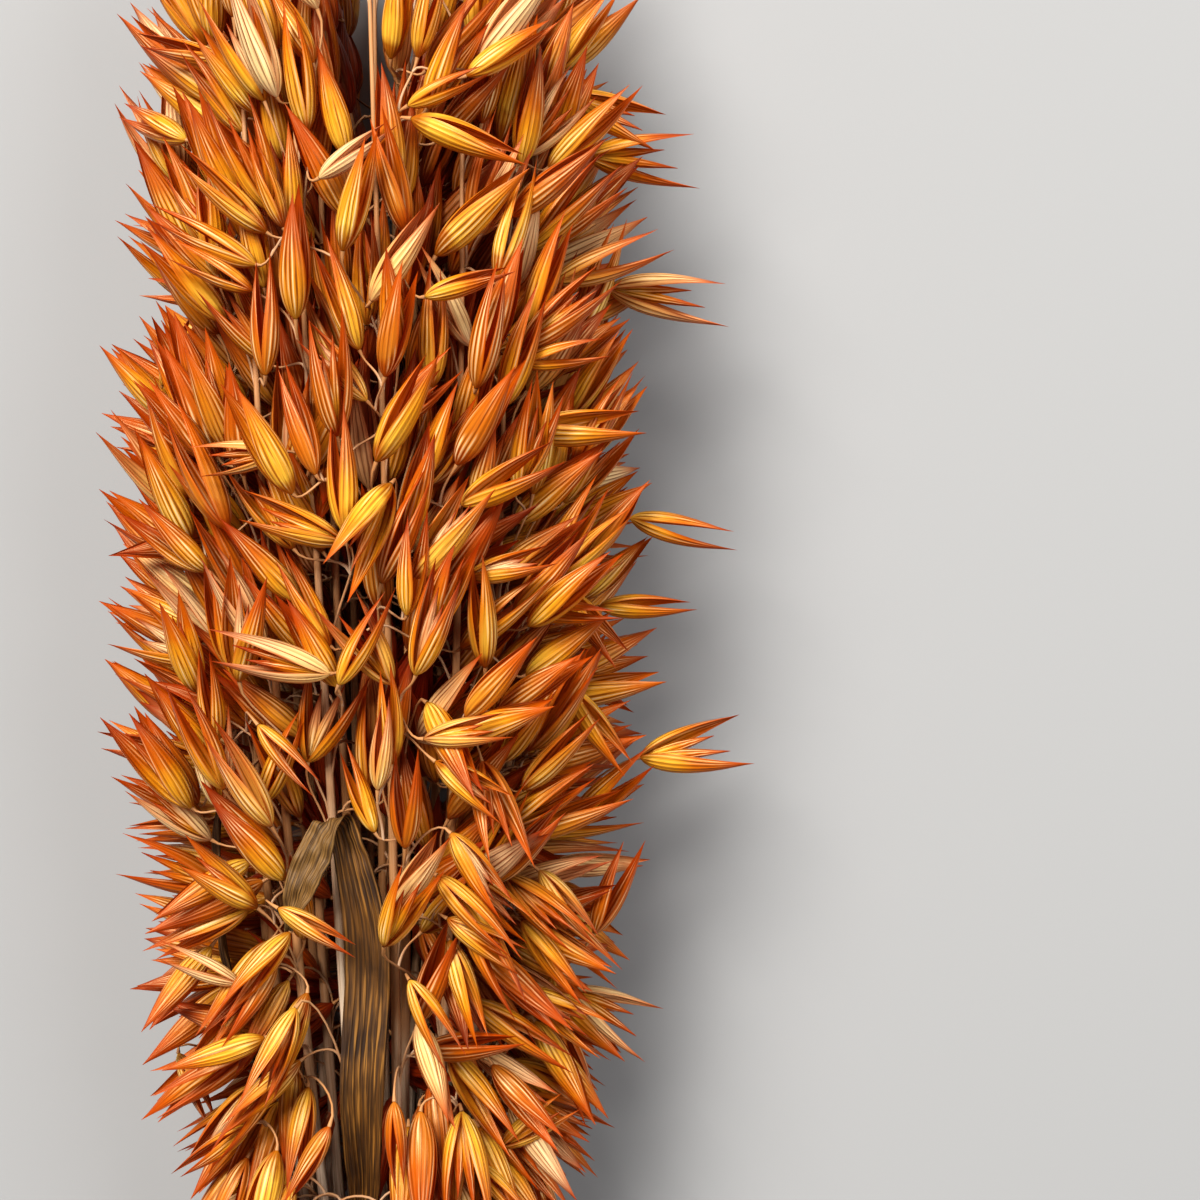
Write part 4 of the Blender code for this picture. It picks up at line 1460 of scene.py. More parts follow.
    def plan_pressed(self, stalks: list[Stalk]) -> list[Row]:
        """The leaf under the heads, laid flat on the surface by the bunch's weight.

        Args:
            stalks: All the stalks.

        Returns:
            The leaf's rows.
        """
        stalk = stalks[self.pressed_stalk]
        down = -UPWARD
        rows = self.sheath(stalk, down, -160.0, -141.0, 3)
        lead = stalk.point(-128.0)
        level = self.thickness / 2
        spine = [lead + Vector((0.5, 0, -2.6)), Vector((0.8 * lead.x, -104.0, lead.z * 0.42)),
                 Vector((0.5 * lead.x, -82.0, level + 1.2))]
        flat = [Vector((0.3 * lead.x, -64.0, level)), Vector((0.0, -40.0, level)),
                Vector((0.0, -12.0, level)), Vector((0.0, 12.0, level)),
                Vector((2.0, 40.0, level)), Vector((6.5, 66.0, level))]
        line = smooth_line(spine, 2) + flat
        widths = [3.0, 3.8, 4.6, 5.2, 5.4, 5.4, 5.2, 5.0, 4.6, 3.4, 0.8]
        keel = [0.25, 0.2, 0.12, 0.05] + [0.0] * (len(line) - 4)
        rows += self.blade(line, [Vector((-1, 0, 0)) for _ in line], widths, keel)
        for row in rows[-len(flat):]:
            for c, (point, _) in enumerate(row):
                row[c] = (Vector((point.x, point.y, level)), down)
        return rows

    def rods(self) -> list[Rod]:
        """The leaf as rods, for keeping oats clear of it.

        Returns:
            The rods.
        """
        made = []
        for before, after in zip(self.rows, self.rows[1:]):
            for c in range(self.columns):
                made.append(Rod(before[c][0], after[c][0], 0.9, False))
                if c:
                    made.append(Rod(before[c - 1][0].lerp(before[c][0], 0.5),
                                    after[c - 1][0].lerp(after[c][0], 0.5), 0.9, False))
        return made

    def build(self, finish: bpy.types.Material) -> bpy.types.Object:
        """Make the leaf's piece and dress it.

        Args:
            finish: Its material.

        Returns:
            The piece.
        """
        points = np.array([[tuple(point) for point, _ in row] for row in self.rows])
        normals = np.array([[tuple(normal) for _, normal in row] for row in self.rows])
        count = 5 * len(points)
        fine = []
        for values in (points, normals):
            values = resampled(values, count)
            fine.append(resampled(values.transpose(1, 0, 2),
                                  self.shown_columns).transpose(1, 0, 2))
        points, normals = fine[0], unit(fine[1])
        along = np.concatenate([[0], np.cumsum(np.linalg.norm(
            np.diff(points[:, self.shown_columns // 2], axis=0), axis=-1))])
        u = np.linspace(-1, 1, self.shown_columns)[None]
        s = along[:, None]
        wave = 0.28 * np.abs(u) ** 2 * np.sin(s * 0.42 + 2.2 * np.sign(u) + np.sin(s * 0.13))
        furrow = 0.06 * np.where(np.arange(self.shown_columns) % 2, 1.0, -1.0)[None]
        bent = np.clip((s / s[-1] - 0.7) / 0.12, 0.0, 1.0)
        if self.form is LeafForm.FLAG:
            wave = wave + 0.5 * bent * (np.sin(s * 0.8 + 2.6 * u)
                                        + 0.6 * np.sin(s * 1.5 - 4.0 * u))
        loose = 0.0 if self.form is LeafForm.PRESSED else 1.0
        points = points + normals * (loose * wave + furrow)[..., None]
        half = np.full(count, self.shown_thickness / 2)
        half[[0, -1]] = 0.02
        lift = normals * half[:, None, None]
        grid = np.concatenate([points + lift, (points - lift)[:, ::-1]], 1)
        under = np.zeros(grid.shape[:2])
        under[:, self.shown_columns:] = 1.0
        cloth = Cloth(f"dry_{self.form.value}")
        cloth.lay(grid, 0, True, along / 30.0, **{UNDERSIDE_JOINT_AND_SHADE: under})
        piece = cloth.cut([finish])
        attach(piece, "root")
        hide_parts(self.form.value)
        return piece


@dataclass
class Tie:
    """The twine: three turns of three plies round the stems, a knot and two ends."""

    form: BunchForm
    stem_radius: float = 1.4
    clearance: float = 0.32
    radius: float = 1.15
    turns: int = 3
    ply_radius: float = 0.62
    ply_offset: float = 0.58
    pitch: float = 6.0
    knot_turn: float = math.radians(62)
    ring_steps: int = 132
    spare: np.ndarray = field(default_factory=lambda: np.array((0.2, 0.3, 0.9)))

    def ply(self, cloth: Cloth, line: np.ndarray, reference: np.ndarray, twists: float,
            swell: np.ndarray | float = 1.0) -> None:
        """Add three plies twisted round a line.

        Args:
            cloth: The piece.
            line: Points of the line.
            reference: Direction square to it that the twist is counted from.
            twists: Number of whole twists.
            swell: Share of the plies' radius, one or one for each point.
        """
        first, second = square_to(line, reference)
        swell = np.broadcast_to(swell, (len(line),))
        for k in range(3):
            turn = 2 * np.pi * (np.linspace(0, twists, len(line)) + k / 3)
            out = first * np.cos(turn)[:, None] + second * np.sin(turn)[:, None]
            centre = line + out * (self.ply_offset * swell)[:, None]
            cloth.lay(rings_round(centre, self.ply_radius * swell, 7, out), 0, True)

    def lay_turns(self, cloth: Cloth) -> None:
        """Add the turns round the stems.

        Args:
            cloth: The piece.
        """
        outer = self.form.rings[-1][1]
        middle = outer + self.stem_radius + self.clearance + self.radius
        angle = np.linspace(0, 2 * np.pi, self.ring_steps + 1)
        out = np.stack([np.cos(angle), np.zeros_like(angle), np.sin(angle)], -1)
        for turn in range(self.turns):
            y = self.form.tie + self.radius * (2 * turn + 1 - self.turns)
            reach = middle + outer * (self.form.fan.at(y) - 1.0)
            heart = np.array([0.0, y, self.form.axis_height.at(y)])
            line = heart + out * reach
            line[:, 1] += 0.12 * np.sin(3 * angle + turn)
            twists = round(2 * math.pi * reach / self.pitch)
            self.ply(cloth, line, out, twists)

    def lay_knot(self, cloth: Cloth, rng: random.Random) -> None:
        """Add the knot and the twine's two ends, frayed where they were cut.

        Args:
            cloth: The piece.
            rng: Random numbers for the frayed fibres.
        """
        reach = self.form.rings[-1][1] + self.stem_radius + 2.3
        out = Vector((math.cos(self.knot_turn), 0, math.sin(self.knot_turn)))
        round_it = Vector((-math.sin(self.knot_turn), 0, math.cos(self.knot_turn)))
        heart = Vector((0, self.form.tie, self.form.axis_height.at(self.form.tie))) + out * reach
        for shift, tilt in ((-1.15, 0.5), (1.15, -0.5)):
            loop = []
            for k in range(25):
                turn = 2 * math.pi * k / 24
                loop.append(heart + round_it * (shift + tilt * math.sin(turn))
                            + out * (0.2 + 1.25 * math.cos(turn)) + FORWARD * 2.6 * math.sin(turn))
            self.ply(cloth, as_rows(loop), np.array(tuple(round_it)), 2.0, 0.92)
        lump = [heart - round_it * 3.3 - out * 0.6, heart - round_it * 1.8 + out * 0.5,
                heart + out * 0.8, heart + round_it * 1.8 + out * 0.5,
                heart + round_it * 3.3 - out * 0.6]
        self.ply(cloth, as_rows(smooth_line(lump, 6)), np.array(tuple(FORWARD)), 1.5, 1.0)
        for sign, far in ((1, 24.0), (-1, 17.0)):
            end = [heart + out * 1.0, heart + out * 2.6 + Vector((0, sign * 3.4, 0)),
                   heart + out * 2.6 + Vector((3.0, sign * far * 0.45, -1.6)),
                   heart + out * 0.4 + Vector((6.5, sign * far * 0.75, -5.5)),
                   heart - out * 2.0 + Vector((10.0, sign * far, -10.5))]
            self.ply(cloth, as_rows(smooth_line(end, 10)), self.spare, 4.0, 0.85)
            self.fray(cloth, end[-1], (end[-1] - end[-2]).normalized(), rng)

    def fray(self, cloth: Cloth, tip: Vector, way: Vector, rng: random.Random) -> None:
        """Add loose fibres at a cut end.

        Args:
            cloth: The piece.
            tip: The end.
            way: Direction in which it points.
            rng: Random numbers for the fibres.
        """
        for _ in range(16):
            aim = Vector([way[i] + rng.gauss(0, 0.35) for i in range(3)]).normalized()
            start = tip + Vector([rng.uniform(-0.7, 0.7) for _ in range(3)]) - way * 1.5
            length = rng.uniform(2.5, 5.0)
            points = [start, start + way * length * 0.4, start + aim * length]
            line = as_rows(smooth_line(points, 2))
            radii = np.linspace(0.16, 0.05, len(line))
            cloth.lay(rings_round(line, radii, 4, self.spare), 0, True)

    def build(self, finish: bpy.types.Material, rng: random.Random) -> bpy.types.Object:
        """Make the tie's piece and dress it.

        Args:
            finish: Its material.
            rng: Random numbers for the frayed ends.

        Returns:
            The piece.
        """
        cloth = Cloth("twine_tie")
        self.lay_turns(cloth)
        self.lay_knot(cloth, rng)
        piece = cloth.cut([finish])
        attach(piece, "root")
        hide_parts("tie")
        return piece


class Seen(NamedTuple):
    """An oat that the photograph shows: where it hangs from, and how it points."""

    x: float
    y: float
    turn: float
    length: float
    spread: float
    level: float = 1.04


def layer_at(layers: Triples, pick: float) -> tuple[float, float]:
    """Layer of the heads that a draw falls in.

    Args:
        layers: Of each, its share of the oats, and where it starts and ends as shares of the
            envelope's radius.
        pick: The draw, from 0 to 1.

    Returns:
        Where the layer starts and ends.
    """
    for share, inner, outer in layers:
        if pick < share:
            break
        pick -= share
    return inner, outer


@dataclass
class Sower:
    """Places the oats: first those of the solids, by the same rule, then the rest."""

    form: BunchForm
    stalks: list[Stalk]
    room: Room
    rng: random.Random
    gap: float = 0.35
    solid_oats: int = 310
    all_oats: int = 1400
    lengths: tuple[float, float] = (21.5, 27.0)
    filling_lengths: tuple[float, float] = (22.0, 28.0)
    spreads: tuple[int, ...] = (8, 8, 8, 12, 18, 26, 36)
    top_spreads: tuple[int, ...] = (8, 16, 28)
    filling_spreads: tuple[int, ...] = (8, 8, 8, 8, 8, 12, 12, 18, 24)
    base_rest: float = 2.4
    tip_rest: float = 0.7
    least_height: float = 0.6
    # Painted shade darkens oats inward from this share of the envelope's radius, fully this much
    # further in.
    painted_shade_from: float = 0.86
    painted_shade_over: float = 0.5
    inner_reach: float = 0.74
    under_height: float = -14.0
    layers: Triples = ((0.72, 0.84, 1.03), (0.20, 0.55, 0.84), (0.08, 0.2, 0.55))
    filling: Triples = ((0.44, 0.78, 1.03), (0.33, 0.52, 0.78), (0.23, 0.22, 0.52))
    shown: tuple[Seen, ...] = tuple(Seen(*row) for row in (
        (46.3, 98.8, -4, 26, 30, 0.1), (51.0, 69.4, -8, 28, 24, 0.0),
        (39.2, 69.4, 17, 27, 14, 0.6), (55.8, 18.3, -14, 25, 12, 0.0),
        (48.8, -1.5, 1, 22, 10, 0.2), (58.0, -35.2, 10, 26, 34, 0.0),
        (42.3, -88.0, -27, 23, 36, 0.1), (38.7, -93.7, -68, 25, 12, 0.4),
        (41.0, 112.0, -22, 25, 22, 0.3), (40.7, 2.4, -50, 22, 14, 0.5),
        (35.0, -66.3, -42, 26, 12, 0.5), (32.7, 35.4, 4, 27, 16, 0.8),
        (32.7, 96.5, 70, 26, 10, 0.7), (20.8, 19.4, 27, 25, 16, 1.0), (4.0, 27.9, 60, 26, 10, 1.0),
        (-2.9, 11.7, 160, 23, 18, 1.0), (-4.0, 33.0, 94, 26, 20, 1.0),
        (9.2, -50.6, 88, 23, 16, 1.0), (3.5, -70.6, 64, 22, 24, 1.0),
        (-18.7, -46.5, 118, 27, 10, 1.0), (9.7, -78.5, -58, 21, 16, 1.0)))
    more_shown: tuple[Seen, ...] = tuple(Seen(*row) for row in (
        (3.1, 60.0, 57, 24, 8), (-7.5, 84.9, 37, 19, 8), (10.9, 97.3, -21, 26, 8),
        (10.5, 97.7, 23, 19, 8), (22.4, 1.6, 14, 19, 18), (41.3, -18.7, -53, 24, 12),
        (13.0, -27.6, 10, 19, 18), (15.6, -32.8, -32, 19, 24), (18.4, -47.8, -54, 21, 18),
        (35.9, -58.1, -50, 21, 10), (47.7, -74.4, 67, 24, 14), (37.8, -78.1, -79, 21, 8),
        (16.4, -69.8, -71, 23, 8), (16.8, -67.1, -30, 19, 18), (27.5, -118.1, 33, 19, 20),
        (21.5, -117.5, -44, 19, 8), (3.3, -47.1, 111, 19, 8), (1.6, -40.1, 84, 19, 8),
        (-20.9, -25.6, -47, 19, 12), (-5.0, -7.3, 119, 22, 8), (-2.6, -16.7, 61, 23, 8),
        (10.2, -3.6, 82, 22, 14), (-27.7, 14.6, 115, 29, 10), (-4.9, -15.3, 166, 26, 18),
        (4.7, 2.2, 93, 25, 8), (-15.0, 75.3, 110, 19, 8), (-11.6, 109.6, 117, 21, 8),
        (-29.9, 113.2, 168, 19, 10), (-20.3, 101.4, 125, 21, 10), (-18.7, 74.6, 139, 24, 10),
        (-21.1, 68.2, 153, 25, 8), (-21.0, 63.1, 153, 20, 12), (13.7, 61.1, 19, 19, 8),
        (-48.0, 47.4, 60, 19, 8), (-18.8, 45.6, 90, 25, 8), (-1.2, 39.7, 132, 20, 18),
        (-8.1, 25.2, 107, 24, 8), (-2.0, 13.5, 94, 26, 8), (-15.1, 29.9, -173, 19, 24),
        (30.9, 79.6, 38, 25, 8), (28.0, 66.0, 73, 26, 8), (32.9, 49.2, 11, 19, 16),
        (38.6, 54.1, 77, 19, 8), (43.2, 57.1, 68, 29, 8), (6.3, -104.1, -87, 19, 8),
        (-27.4, -82.7, 155, 19, 12), (-26.3, -113.0, -147, 19, 10), (-7.4, -109.7, -118, 19, 8),
        (-45.3, -101.1, -59, 19, 8), (-12.5, -62.6, -27, 19, 8)))
    branches: list[tuple[float, float, float]] = field(default_factory=list)
    carriers: list[int] = field(default_factory=list)

    def settle(self, base: Vector, heading: Vector, length: float,
               y: float) -> tuple[Vector, Vector]:
        """Base and heading after the surface has pushed an oat up, length kept.

        Args:
            base: Where the oat starts.
            heading: Where it points.
            length: Its length.
            y: Its place along the bunch.

        Returns:
            The new base and heading.
        """
        tip = base + heading * length
        base = Vector((base.x, base.y, self.form.pressed(base.z, y, self.base_rest)))
        tip = Vector((tip.x, tip.y, self.form.pressed(tip.z, y, self.tip_rest)))
        heading = (tip - base).normalized()
        low = base.z + heading.z * length
        if low < self.least_height:
            heading.z += (self.least_height - low) / length
            heading.normalize()
        return base, heading

    def keep(self, oat: Oat) -> None:
        """Give an oat to its stalk and to the room that is taken.

        Args:
            oat: The oat.
        """
        self.room.add(oat.rods, oat.stalk)
        self.stalks[oat.stalk].oats.append(oat)
        for t in (0.3, 0.45, 0.6, 0.75):
            self.branches.append(tuple(bezier(oat.drawn, t)))
            self.carriers.append(oat.stalk)

    def distance(self, stalk: Stalk, base: Vector) -> float:
        """How far a stalk is from an oat's base, more the fuller it hangs.

        Args:
            stalk: The stalk.
            base: The base.

        Returns:
            The distance.
        """
        y = min(max(base.y - 18.0, -150.0), stalk.top)
        centre = stalk.point(y)
        far = math.hypot(centre.x - base.x, centre.z - base.z)
        return far + abs(y - base.y + 18.0) * 0.6 + stalk.load * 0.9

    def try_hang(self, aim: Aim, reach: float) -> bool:
        """Hang an oat from the nearest stalk that leaves it clear.

        Args:
            aim: How it lies.
            reach: Longest distance from its stalk.

        Returns:
            True if there was room.
        """
        apart = {stalk.number: self.distance(stalk, aim.base) for stalk in self.stalks}
        near = sorted(self.stalks, key=lambda stalk: apart[stalk.number])[:5]
        rises = [self.rng.uniform(6, 30) for _ in range(3)]
        for stalk in near:
            if apart[stalk.number] > reach:
                break
            for rise in rises:
                oat = stalk.hang(aim, rise + 0.45 * apart[stalk.number])
                if self.room.free(oat.rods, stalk.number, self.gap):
                    stalk.load += 1
                    self.keep(oat)
                    return True
        return False

    def seen_base(self, seen: Seen) -> Vector:
        """Where an oat that the photograph shows starts.

        Args:
            seen: The oat.

        Returns:
            Its base, raised to the envelope of the heads.
        """
        wide = max(self.form.base_envelope.at(seen.y), abs(seen.x) + 0.1)
        rise = seen.level * math.sqrt(wide * wide - seen.x * seen.x)
        return Vector((seen.x, seen.y, self.form.axis_height.at(seen.y) + rise))

    def hang_more_shown(self, rng: random.Random) -> int:
        """Hang the oats that the photograph shows and the solids leave out.

        Args:
            rng: Random numbers.

        Returns:
            How many there are.
        """
        made = 0
        for seen in self.more_shown:
            turn = math.radians(seen.turn)
            for tries in range(24):
                base = self.seen_base(seen) + Vector([rng.gauss(0, 0.12 * tries)
                                                      for _ in range(3)])
                heading = Vector((math.cos(turn), math.sin(turn), rng.uniform(-0.05, 0.25)))
                oat = self.sprout(Aim(base, heading.normalized(), seen.length, seen.spread,
                                      math.pi / 2 + rng.uniform(-0.5, 0.5)), rng)
                if self.room.free([rod for rod in oat.rods if rod.is_husk], NOBODY, 0.0, 0.6):
                    self.keep(oat)
                    made += 1
                    break
        return made

    def hang_shown(self) -> int:
        """Hang the oats that the solids place by the photograph.

        Returns:
            How many there are.
        """
        rng, made = self.rng, 0
        for seen in self.shown:
            base = self.seen_base(seen)
            lean = 0.12 + 0.3 * seen.level * rng.random()
            turn = math.radians(seen.turn)
            heading = Vector((math.cos(turn), math.sin(turn), lean))
            heading.normalize()
            for _ in range(14):
                if self.try_hang(Aim(base, heading, seen.length, seen.spread,
                                     math.radians(90) + rng.uniform(-0.5, 0.5)), 60.0):
                    made += 1
                    break
                base = base + Vector((rng.uniform(-2, 2), rng.uniform(-2, 2),
                                      rng.uniform(-2, 3)))
        return made

    def hang_tops(self) -> int:
        """Hang one oat at the end of every stalk.

        Returns:
            How many there are.
        """
        rng, made = self.rng, 0
        for stalk in self.stalks:
            top = stalk.point(stalk.top)
            for _ in range(30):
                base = top + Vector((rng.uniform(-7, 7), rng.uniform(4, 12),
                                     rng.uniform(-7, 7)))
                out = Vector((base.x, 0, base.z - self.form.axis_height.at(base.y))) * 0.02
                heading = Vector((rng.uniform(-0.5, 0.5), 0.9, rng.uniform(-0.5, 0.5))) + out
                length = rng.uniform(*self.lengths)
                base, heading = self.settle(base, heading.normalized(), length, base.y)
                oat = stalk.hang(Aim(base, heading, length, rng.choice(self.top_spreads),
                                     rng.uniform(0, FULL_TURN)), 14.0)
                if self.room.free(oat.rods, stalk.number, self.gap):
                    self.keep(oat)
                    made += 1
                    break
        return made

    def hang_by_rule(self, wanted: int) -> int:
        """Hang oats evenly along and round the heads, in three layers.

        Args:
            wanted: Number of oats.

        Returns:
            How many there are.
        """
        form, rng, made, k = self.form, self.rng, 0, 0
        keys = form.base_envelope.keys
        low, high = keys[0][0] + 4.0, keys[-1][0] - 4.0
        widest = max(key[1] for key in keys)
        while made < wanted and k < 12 * wanted:
            k += 1
            y = low + (high - low) * ((k * EVEN_ALONG) % 1.0)
            angle = 2 * math.pi * ((k * EVEN_ROUND) % 1.0)
            pick, thin = rng.random(), rng.random()
            if thin > 0.35 + 0.65 * form.base_envelope.at(y) / widest:
                continue
            inner, outer = layer_at(self.layers, pick)
            spread = rng.choice(self.spreads)
            for _ in range(4):
                base, heading = self.draw(rng, y, angle, inner, outer)
                length = rng.uniform(*self.lengths)
                tip = base + heading * length
                if not form.holds(tip, form.tip_envelope, 3.0) or form.bars(base, tip):
                    continue
                base, heading = self.settle(base, heading, length, y)
                if self.try_hang(Aim(base, heading, length, spread,
                                     rng.uniform(0, FULL_TURN)), 46.0):
                    made += 1
                    break
        return made

    def draw(self, rng: random.Random, y: float, angle: float, inner: float,
             outer: float) -> tuple[Vector, Vector]:
        """Draw an oat's base and heading round a place of the bunch.

        Args:
            rng: Random numbers.
            y: The place along the bunch.
            angle: The place round it.
            inner: Least share of the envelope's radius.
            outer: Most.

        Returns:
            The base and the heading.
        """
        form = self.form
        round_it, along_it, outward = form.flow(y, angle)
        reach = form.base_envelope.at(y) * rng.uniform(inner, outer) * outward
        turn = angle + round_it + rng.gauss(0, 0.24)
        lift = math.radians(form.lift.at(y) + along_it + rng.gauss(0, 10))
        base = Vector((reach * math.cos(angle), y + rng.uniform(-4, 4),
                       form.axis_height.at(y) + reach * math.sin(angle)))
        heading = Vector((math.cos(lift) * math.cos(turn), math.sin(lift),
                          math.cos(lift) * math.sin(turn)))
        return base, self.laid(heading, rng)

    def laid(self, heading: Vector, rng: random.Random) -> Vector:
        """Heading turned along the bunch where it would stand straight up from it.

        Args:
            heading: The heading.
            rng: Random numbers.

        Returns:
            The new heading.
        """
        away = max(heading.z, 0.0)
        ahead = 1.0 if heading.y + rng.gauss(0.1, 0.35) > 0 else -1.0
        turned = Vector((heading.x + rng.gauss(0, 0.4) * away,
                         heading.y + 0.85 * ahead * away, heading.z * (1.0 - 0.68 * away)))
        return turned.normalized()

    def sprout(self, aim: Aim, rng: random.Random) -> Oat:
        """An oat on a side branch of the nearest branch below it, or on a stalk's.

        Args:
            aim: How it lies.
            rng: Random numbers.

        Returns:
            The oat.
        """
        gaps = np.array(tuple(aim.base)) - np.array(self.branches)
        far = np.linalg.norm(gaps, axis=1)
        fits = (far > 8.0) & (far < 30.0) & (gaps[:, 1] > -6.0)
        fits &= (gaps @ np.array(tuple(aim.heading))) > far * -0.1
        if not fits.any():
            near = min(self.stalks, key=lambda stalk: self.distance(stalk, aim.base))
            return near.hang(aim, rng.uniform(8, 26))
        pick = int(np.argmin(np.where(fits, far, 1e9)))
        foot = Vector(self.branches[pick])
        curve = branch(foot, aim, float(far[pick]), 0.3, 0.15, 1.0)
        return make_oat(self.carriers[pick], curve, aim)

    def thicken(self, rng: random.Random, box: tuple[Vector, Vector]) -> int:
        """Hang the oats that the solids leave out, closer together.

        Args:
            rng: Random numbers.
            box: Lowest and highest corner that the oats stay in, in millimetres.

        Returns:
            How many there are.
        """
        form, made, k = self.form, 0, 0
        wanted = self.all_oats - sum(len(stalk.oats) for stalk in self.stalks)
        keys = form.base_envelope.keys
        low, high = keys[0][0], keys[-1][0]
        widest = max(key[1] for key in keys)
        while made < wanted and k < 6 * wanted:
            k += 1
            y = low + (high - low) * ((0.37 + k * EVEN_ALONG) % 1.0)
            angle = 2 * math.pi * ((0.71 + k * EVEN_ROUND) % 1.0)
            pick = rng.random()
            if rng.random() > 0.3 + 0.7 * form.base_envelope.at(y) / widest:
                continue
            inner, outer = layer_at(self.filling, pick)
            shrink = 0.8 if inner > 0.7 else 0.58
            spread = rng.choice(self.filling_spreads)
            for _ in range(5):
                base, heading = self.draw(rng, y, angle, inner, outer)
                length = rng.uniform(*self.filling_lengths)
                tip = base + heading * length
                if not form.holds(tip, form.tip_envelope, 2.0) or form.bars(base, tip):
                    continue
                base, heading = self.settle(base, heading, length, y)
                oat = self.sprout(Aim(base, heading, length, spread,
                                      rng.uniform(0, FULL_TURN)), rng)
                husks = [rod for rod in oat.rods if rod.is_husk]
                if not all(box[0][i] < rod.end[i] < box[1][i] for rod in husks
                           for i in range(2)):
                    continue
                if form.over_stem(husks):
                    continue
                if self.room.free(husks, NOBODY, 0.0, shrink):
                    self.keep(oat)
                    made += 1
                    break
        return made

    def grade(self) -> None:
        """Mesh oats more coarsely where the bunch hides them, and give deep ones painted shade."""
        for stalk in self.stalks:
            for oat in stalk.oats:
                y = oat.base.y
                rise = oat.base.z - self.form.axis_height.at(y)
                reach = math.hypot(oat.base.x, rise) / self.form.base_envelope.at(y)
                # Painted shade: the deeper in the bunch, the darker the husks.
                oat.inside = min(max((self.painted_shade_from - reach) / self.painted_shade_over, 0.0), 1.0)
                if reach < self.inner_reach:
                    oat.fineness = Fineness.INNER
                elif rise < self.under_height:
                    oat.fineness = Fineness.UNDERSIDE


class Lamp(NamedTuple):
    """A square soft light: its place and side in metres, its power in watts and its colour."""

    name: str
    place: tuple[float, float, float]
    size: float
    power: float
    colour: tuple[float, float, float]


@dataclass
class Studio:
    """The pale floor, the soft lights and the camera at the photograph's viewing angle."""

    frame_width: float = 250.0
    frame_x: float = 49.0
    frame_height: float = 75.0
    lens: float = 60.0
    sensor: float = 36.0
    lamps: tuple[Lamp, ...] = (
        Lamp("key", (-0.72, 1.18, 1.92), 1.2, 108.0, (1.0, 0.975, 0.94)),
        Lamp("fill", (1.3, 0.3, 1.5), 1.2, 20.0, (0.96, 0.98, 1.0)))
    aim: tuple[float, float, float] = (0.0, 0.0, 0.04)
    sky_strength: float = 0.19
    transform: str = "Standard"
    look: str = "Medium High Contrast"
    floor_reach: float = 15000.0
    floor_height: float = -0.02

    def build(self, floor_finish: bpy.types.Material) -> None:
        """Make the floor, the lights, the world and the camera.

        Args:
            floor_finish: The floor's material.
        """
        self.lay_floor(floor_finish)
        for lamp in self.lamps:
            self.light(lamp)
        world = bpy.data.worlds.new("soft_sky")
        world.use_nodes = True
        background = world.node_tree.nodes["Background"]
        background.inputs["Color"].default_value = (1.0, 1.0, 1.0, 1.0)
        background.inputs["Strength"].default_value = self.sky_strength
        bpy.context.scene.world = world
        display = bpy.context.scene.view_settings
        display.view_transform = self.transform
        display.look = self.look
        self.aim_camera()

    def lay_floor(self, finish: bpy.types.Material) -> None:
        """Lay the floor.

        Args:
            finish: Its material.
        """
        cloth = Cloth("floor", self.floor_height)
        side = np.linspace(-self.floor_reach, self.floor_reach, 3)
        x, y = np.meshgrid(side, side)
        cloth.lay(np.stack([x, y, np.full_like(x, self.floor_height)], -1))
        cloth.cut([finish])

    def light(self, lamp: Lamp) -> None:
        """Hang a lamp that looks at the bunch.

        Args:
            lamp: The lamp.
        """
        bulb = bpy.data.lights.new(lamp.name, "AREA")
        bulb.energy, bulb.size, bulb.color = lamp.power, lamp.size, lamp.colour
        holder = bpy.data.objects.new(lamp.name, bulb)
        holder.location = lamp.place
        way = Vector(self.aim) - Vector(lamp.place)
        holder.rotation_euler = way.to_track_quat("-Z", "Y").to_euler()
        bpy.context.scene.collection.objects.link(holder)

    def aim_camera(self) -> None:
        """Put the camera over the heads, looking straight down with +Y up the picture."""
        lens = bpy.data.cameras.new("camera")
        lens.lens, lens.sensor_width = self.lens, self.sensor
        camera = bpy.data.objects.new("camera", lens)
        height = self.frame_height + self.frame_width * self.lens / self.sensor
        camera.location = (self.frame_x * MM, 0.0, height * MM)
        bpy.context.scene.collection.objects.link(camera)
        bpy.context.scene.camera = camera


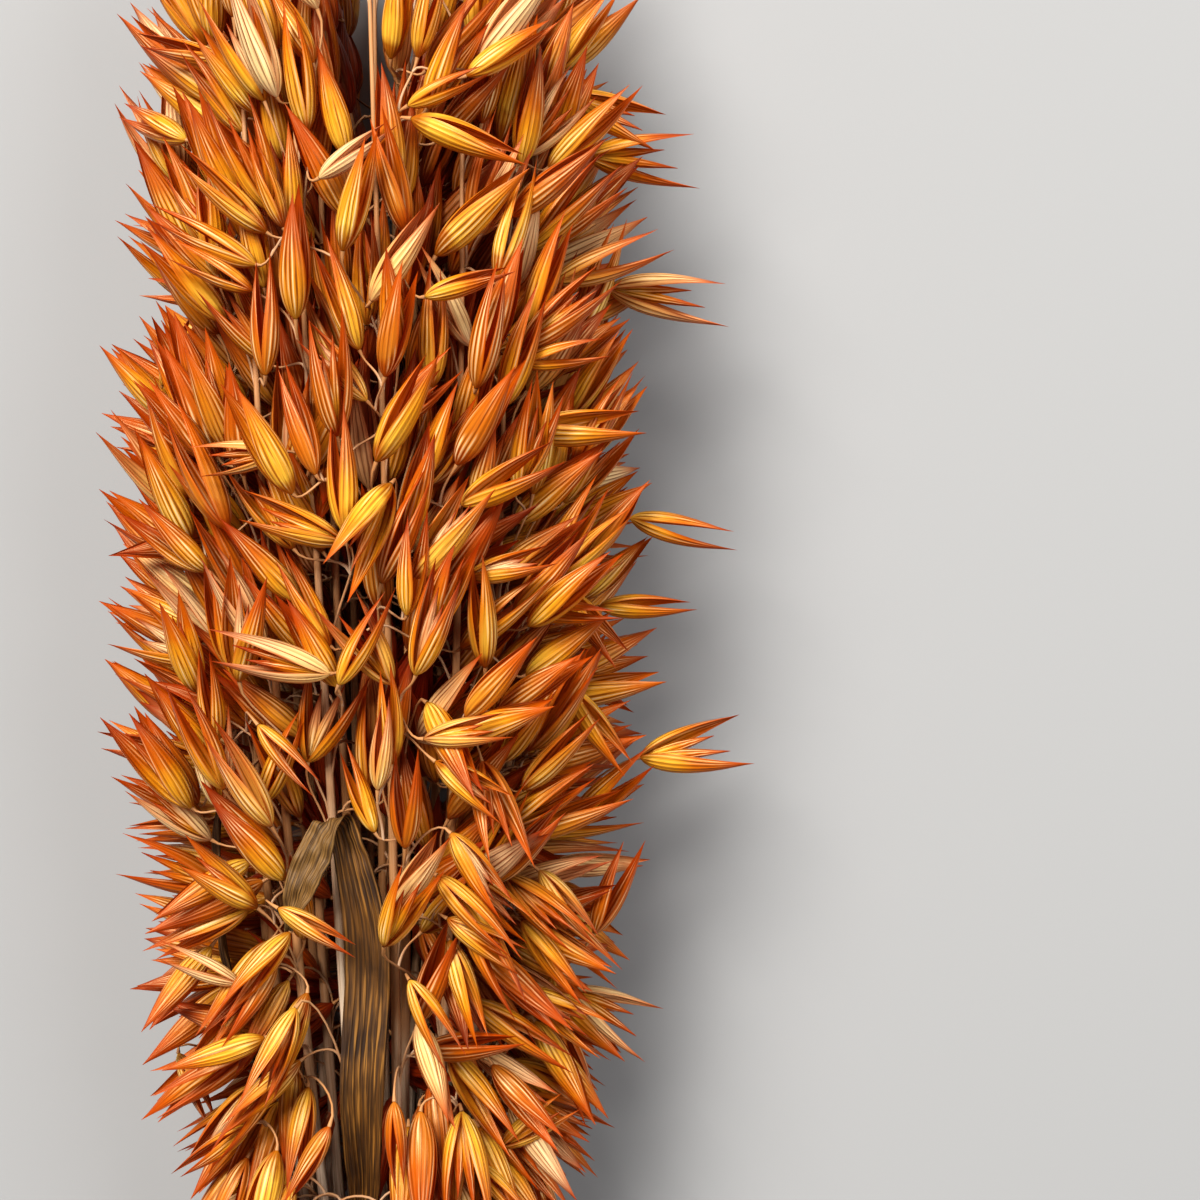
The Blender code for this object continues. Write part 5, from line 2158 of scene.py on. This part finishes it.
def make_stalks(form: BunchForm, rng: random.Random) -> list[Stalk]:
    """Place every stalk in the tie.

    Args:
        form: Sizes of the bunch.
        rng: Random numbers, drawn in the solids' order.

    Returns:
        The stalks.
    """
    stalks = []
    for count, reach, first in form.rings:
        for i in range(count):
            sway = (rng.uniform(-form.sway, form.sway), rng.uniform(-form.sway, form.sway))
            butt = form.butt + rng.uniform(-9, 9)
            top = rng.uniform(*form.tops)
            angle = math.radians(first + 360.0 * i / count)
            stalks.append(Stalk(form, len(stalks), reach, angle, sway, butt, top))
    return stalks


def grow() -> tuple[list[Stalk], list[Leaf]]:
    """Place the stalks, the leaves and the oats.

    Returns:
        The stalks with their oats, and the leaves.
    """
    form, rng, room = BunchForm(), random.Random(SEED), Room()
    stalks = make_stalks(form, rng)
    for stalk in stalks:
        room.add([Rod(a[0], b[0], max(a[1], b[1]), False)
                  for a, b in zip(stalk.path, stalk.path[1:])], stalk.number)
    leaves = [Leaf(kind) for kind in LeafForm]
    for number, leaf in enumerate(leaves):
        leaf.plan(stalks)
        room.add(leaf.rods(), FIRST_LEAF + number)
    sower = Sower(form, stalks, room, rng)
    placed = sower.hang_shown()
    placed += sower.hang_tops()
    placed += sower.hang_by_rule(sower.solid_oats - placed)
    low, high = (Vector(corner) / MM for corner in CAD_BOX)
    added = sower.hang_more_shown(random.Random(SEED + 3))
    added += sower.thicken(random.Random(SEED + 1), (low, high))
    sower.grade()
    LOG.info("oats: %d of the solids and %d more", placed, added)
    return stalks, leaves


def main() -> None:
    """Build and dress every piece, then the studio."""
    logging.basicConfig(level=logging.INFO, format="%(message)s")
    stalks, leaves = grow()
    husk, straw = HuskFinish().paint(), StrawFinish().paint()
    sizes, rng = HuskForm(), random.Random(SEED + 2)
    for stalk in stalks:
        stalk.build(sizes, [husk, straw], rng)
    blade = LeafFinish().paint()
    for leaf in leaves:
        leaf.build(blade)
    Tie(stalks[0].form).build(TwineFinish().paint(), rng)
    Studio().build(FloorFinish().paint())


if __name__ == "__main__":
    main()
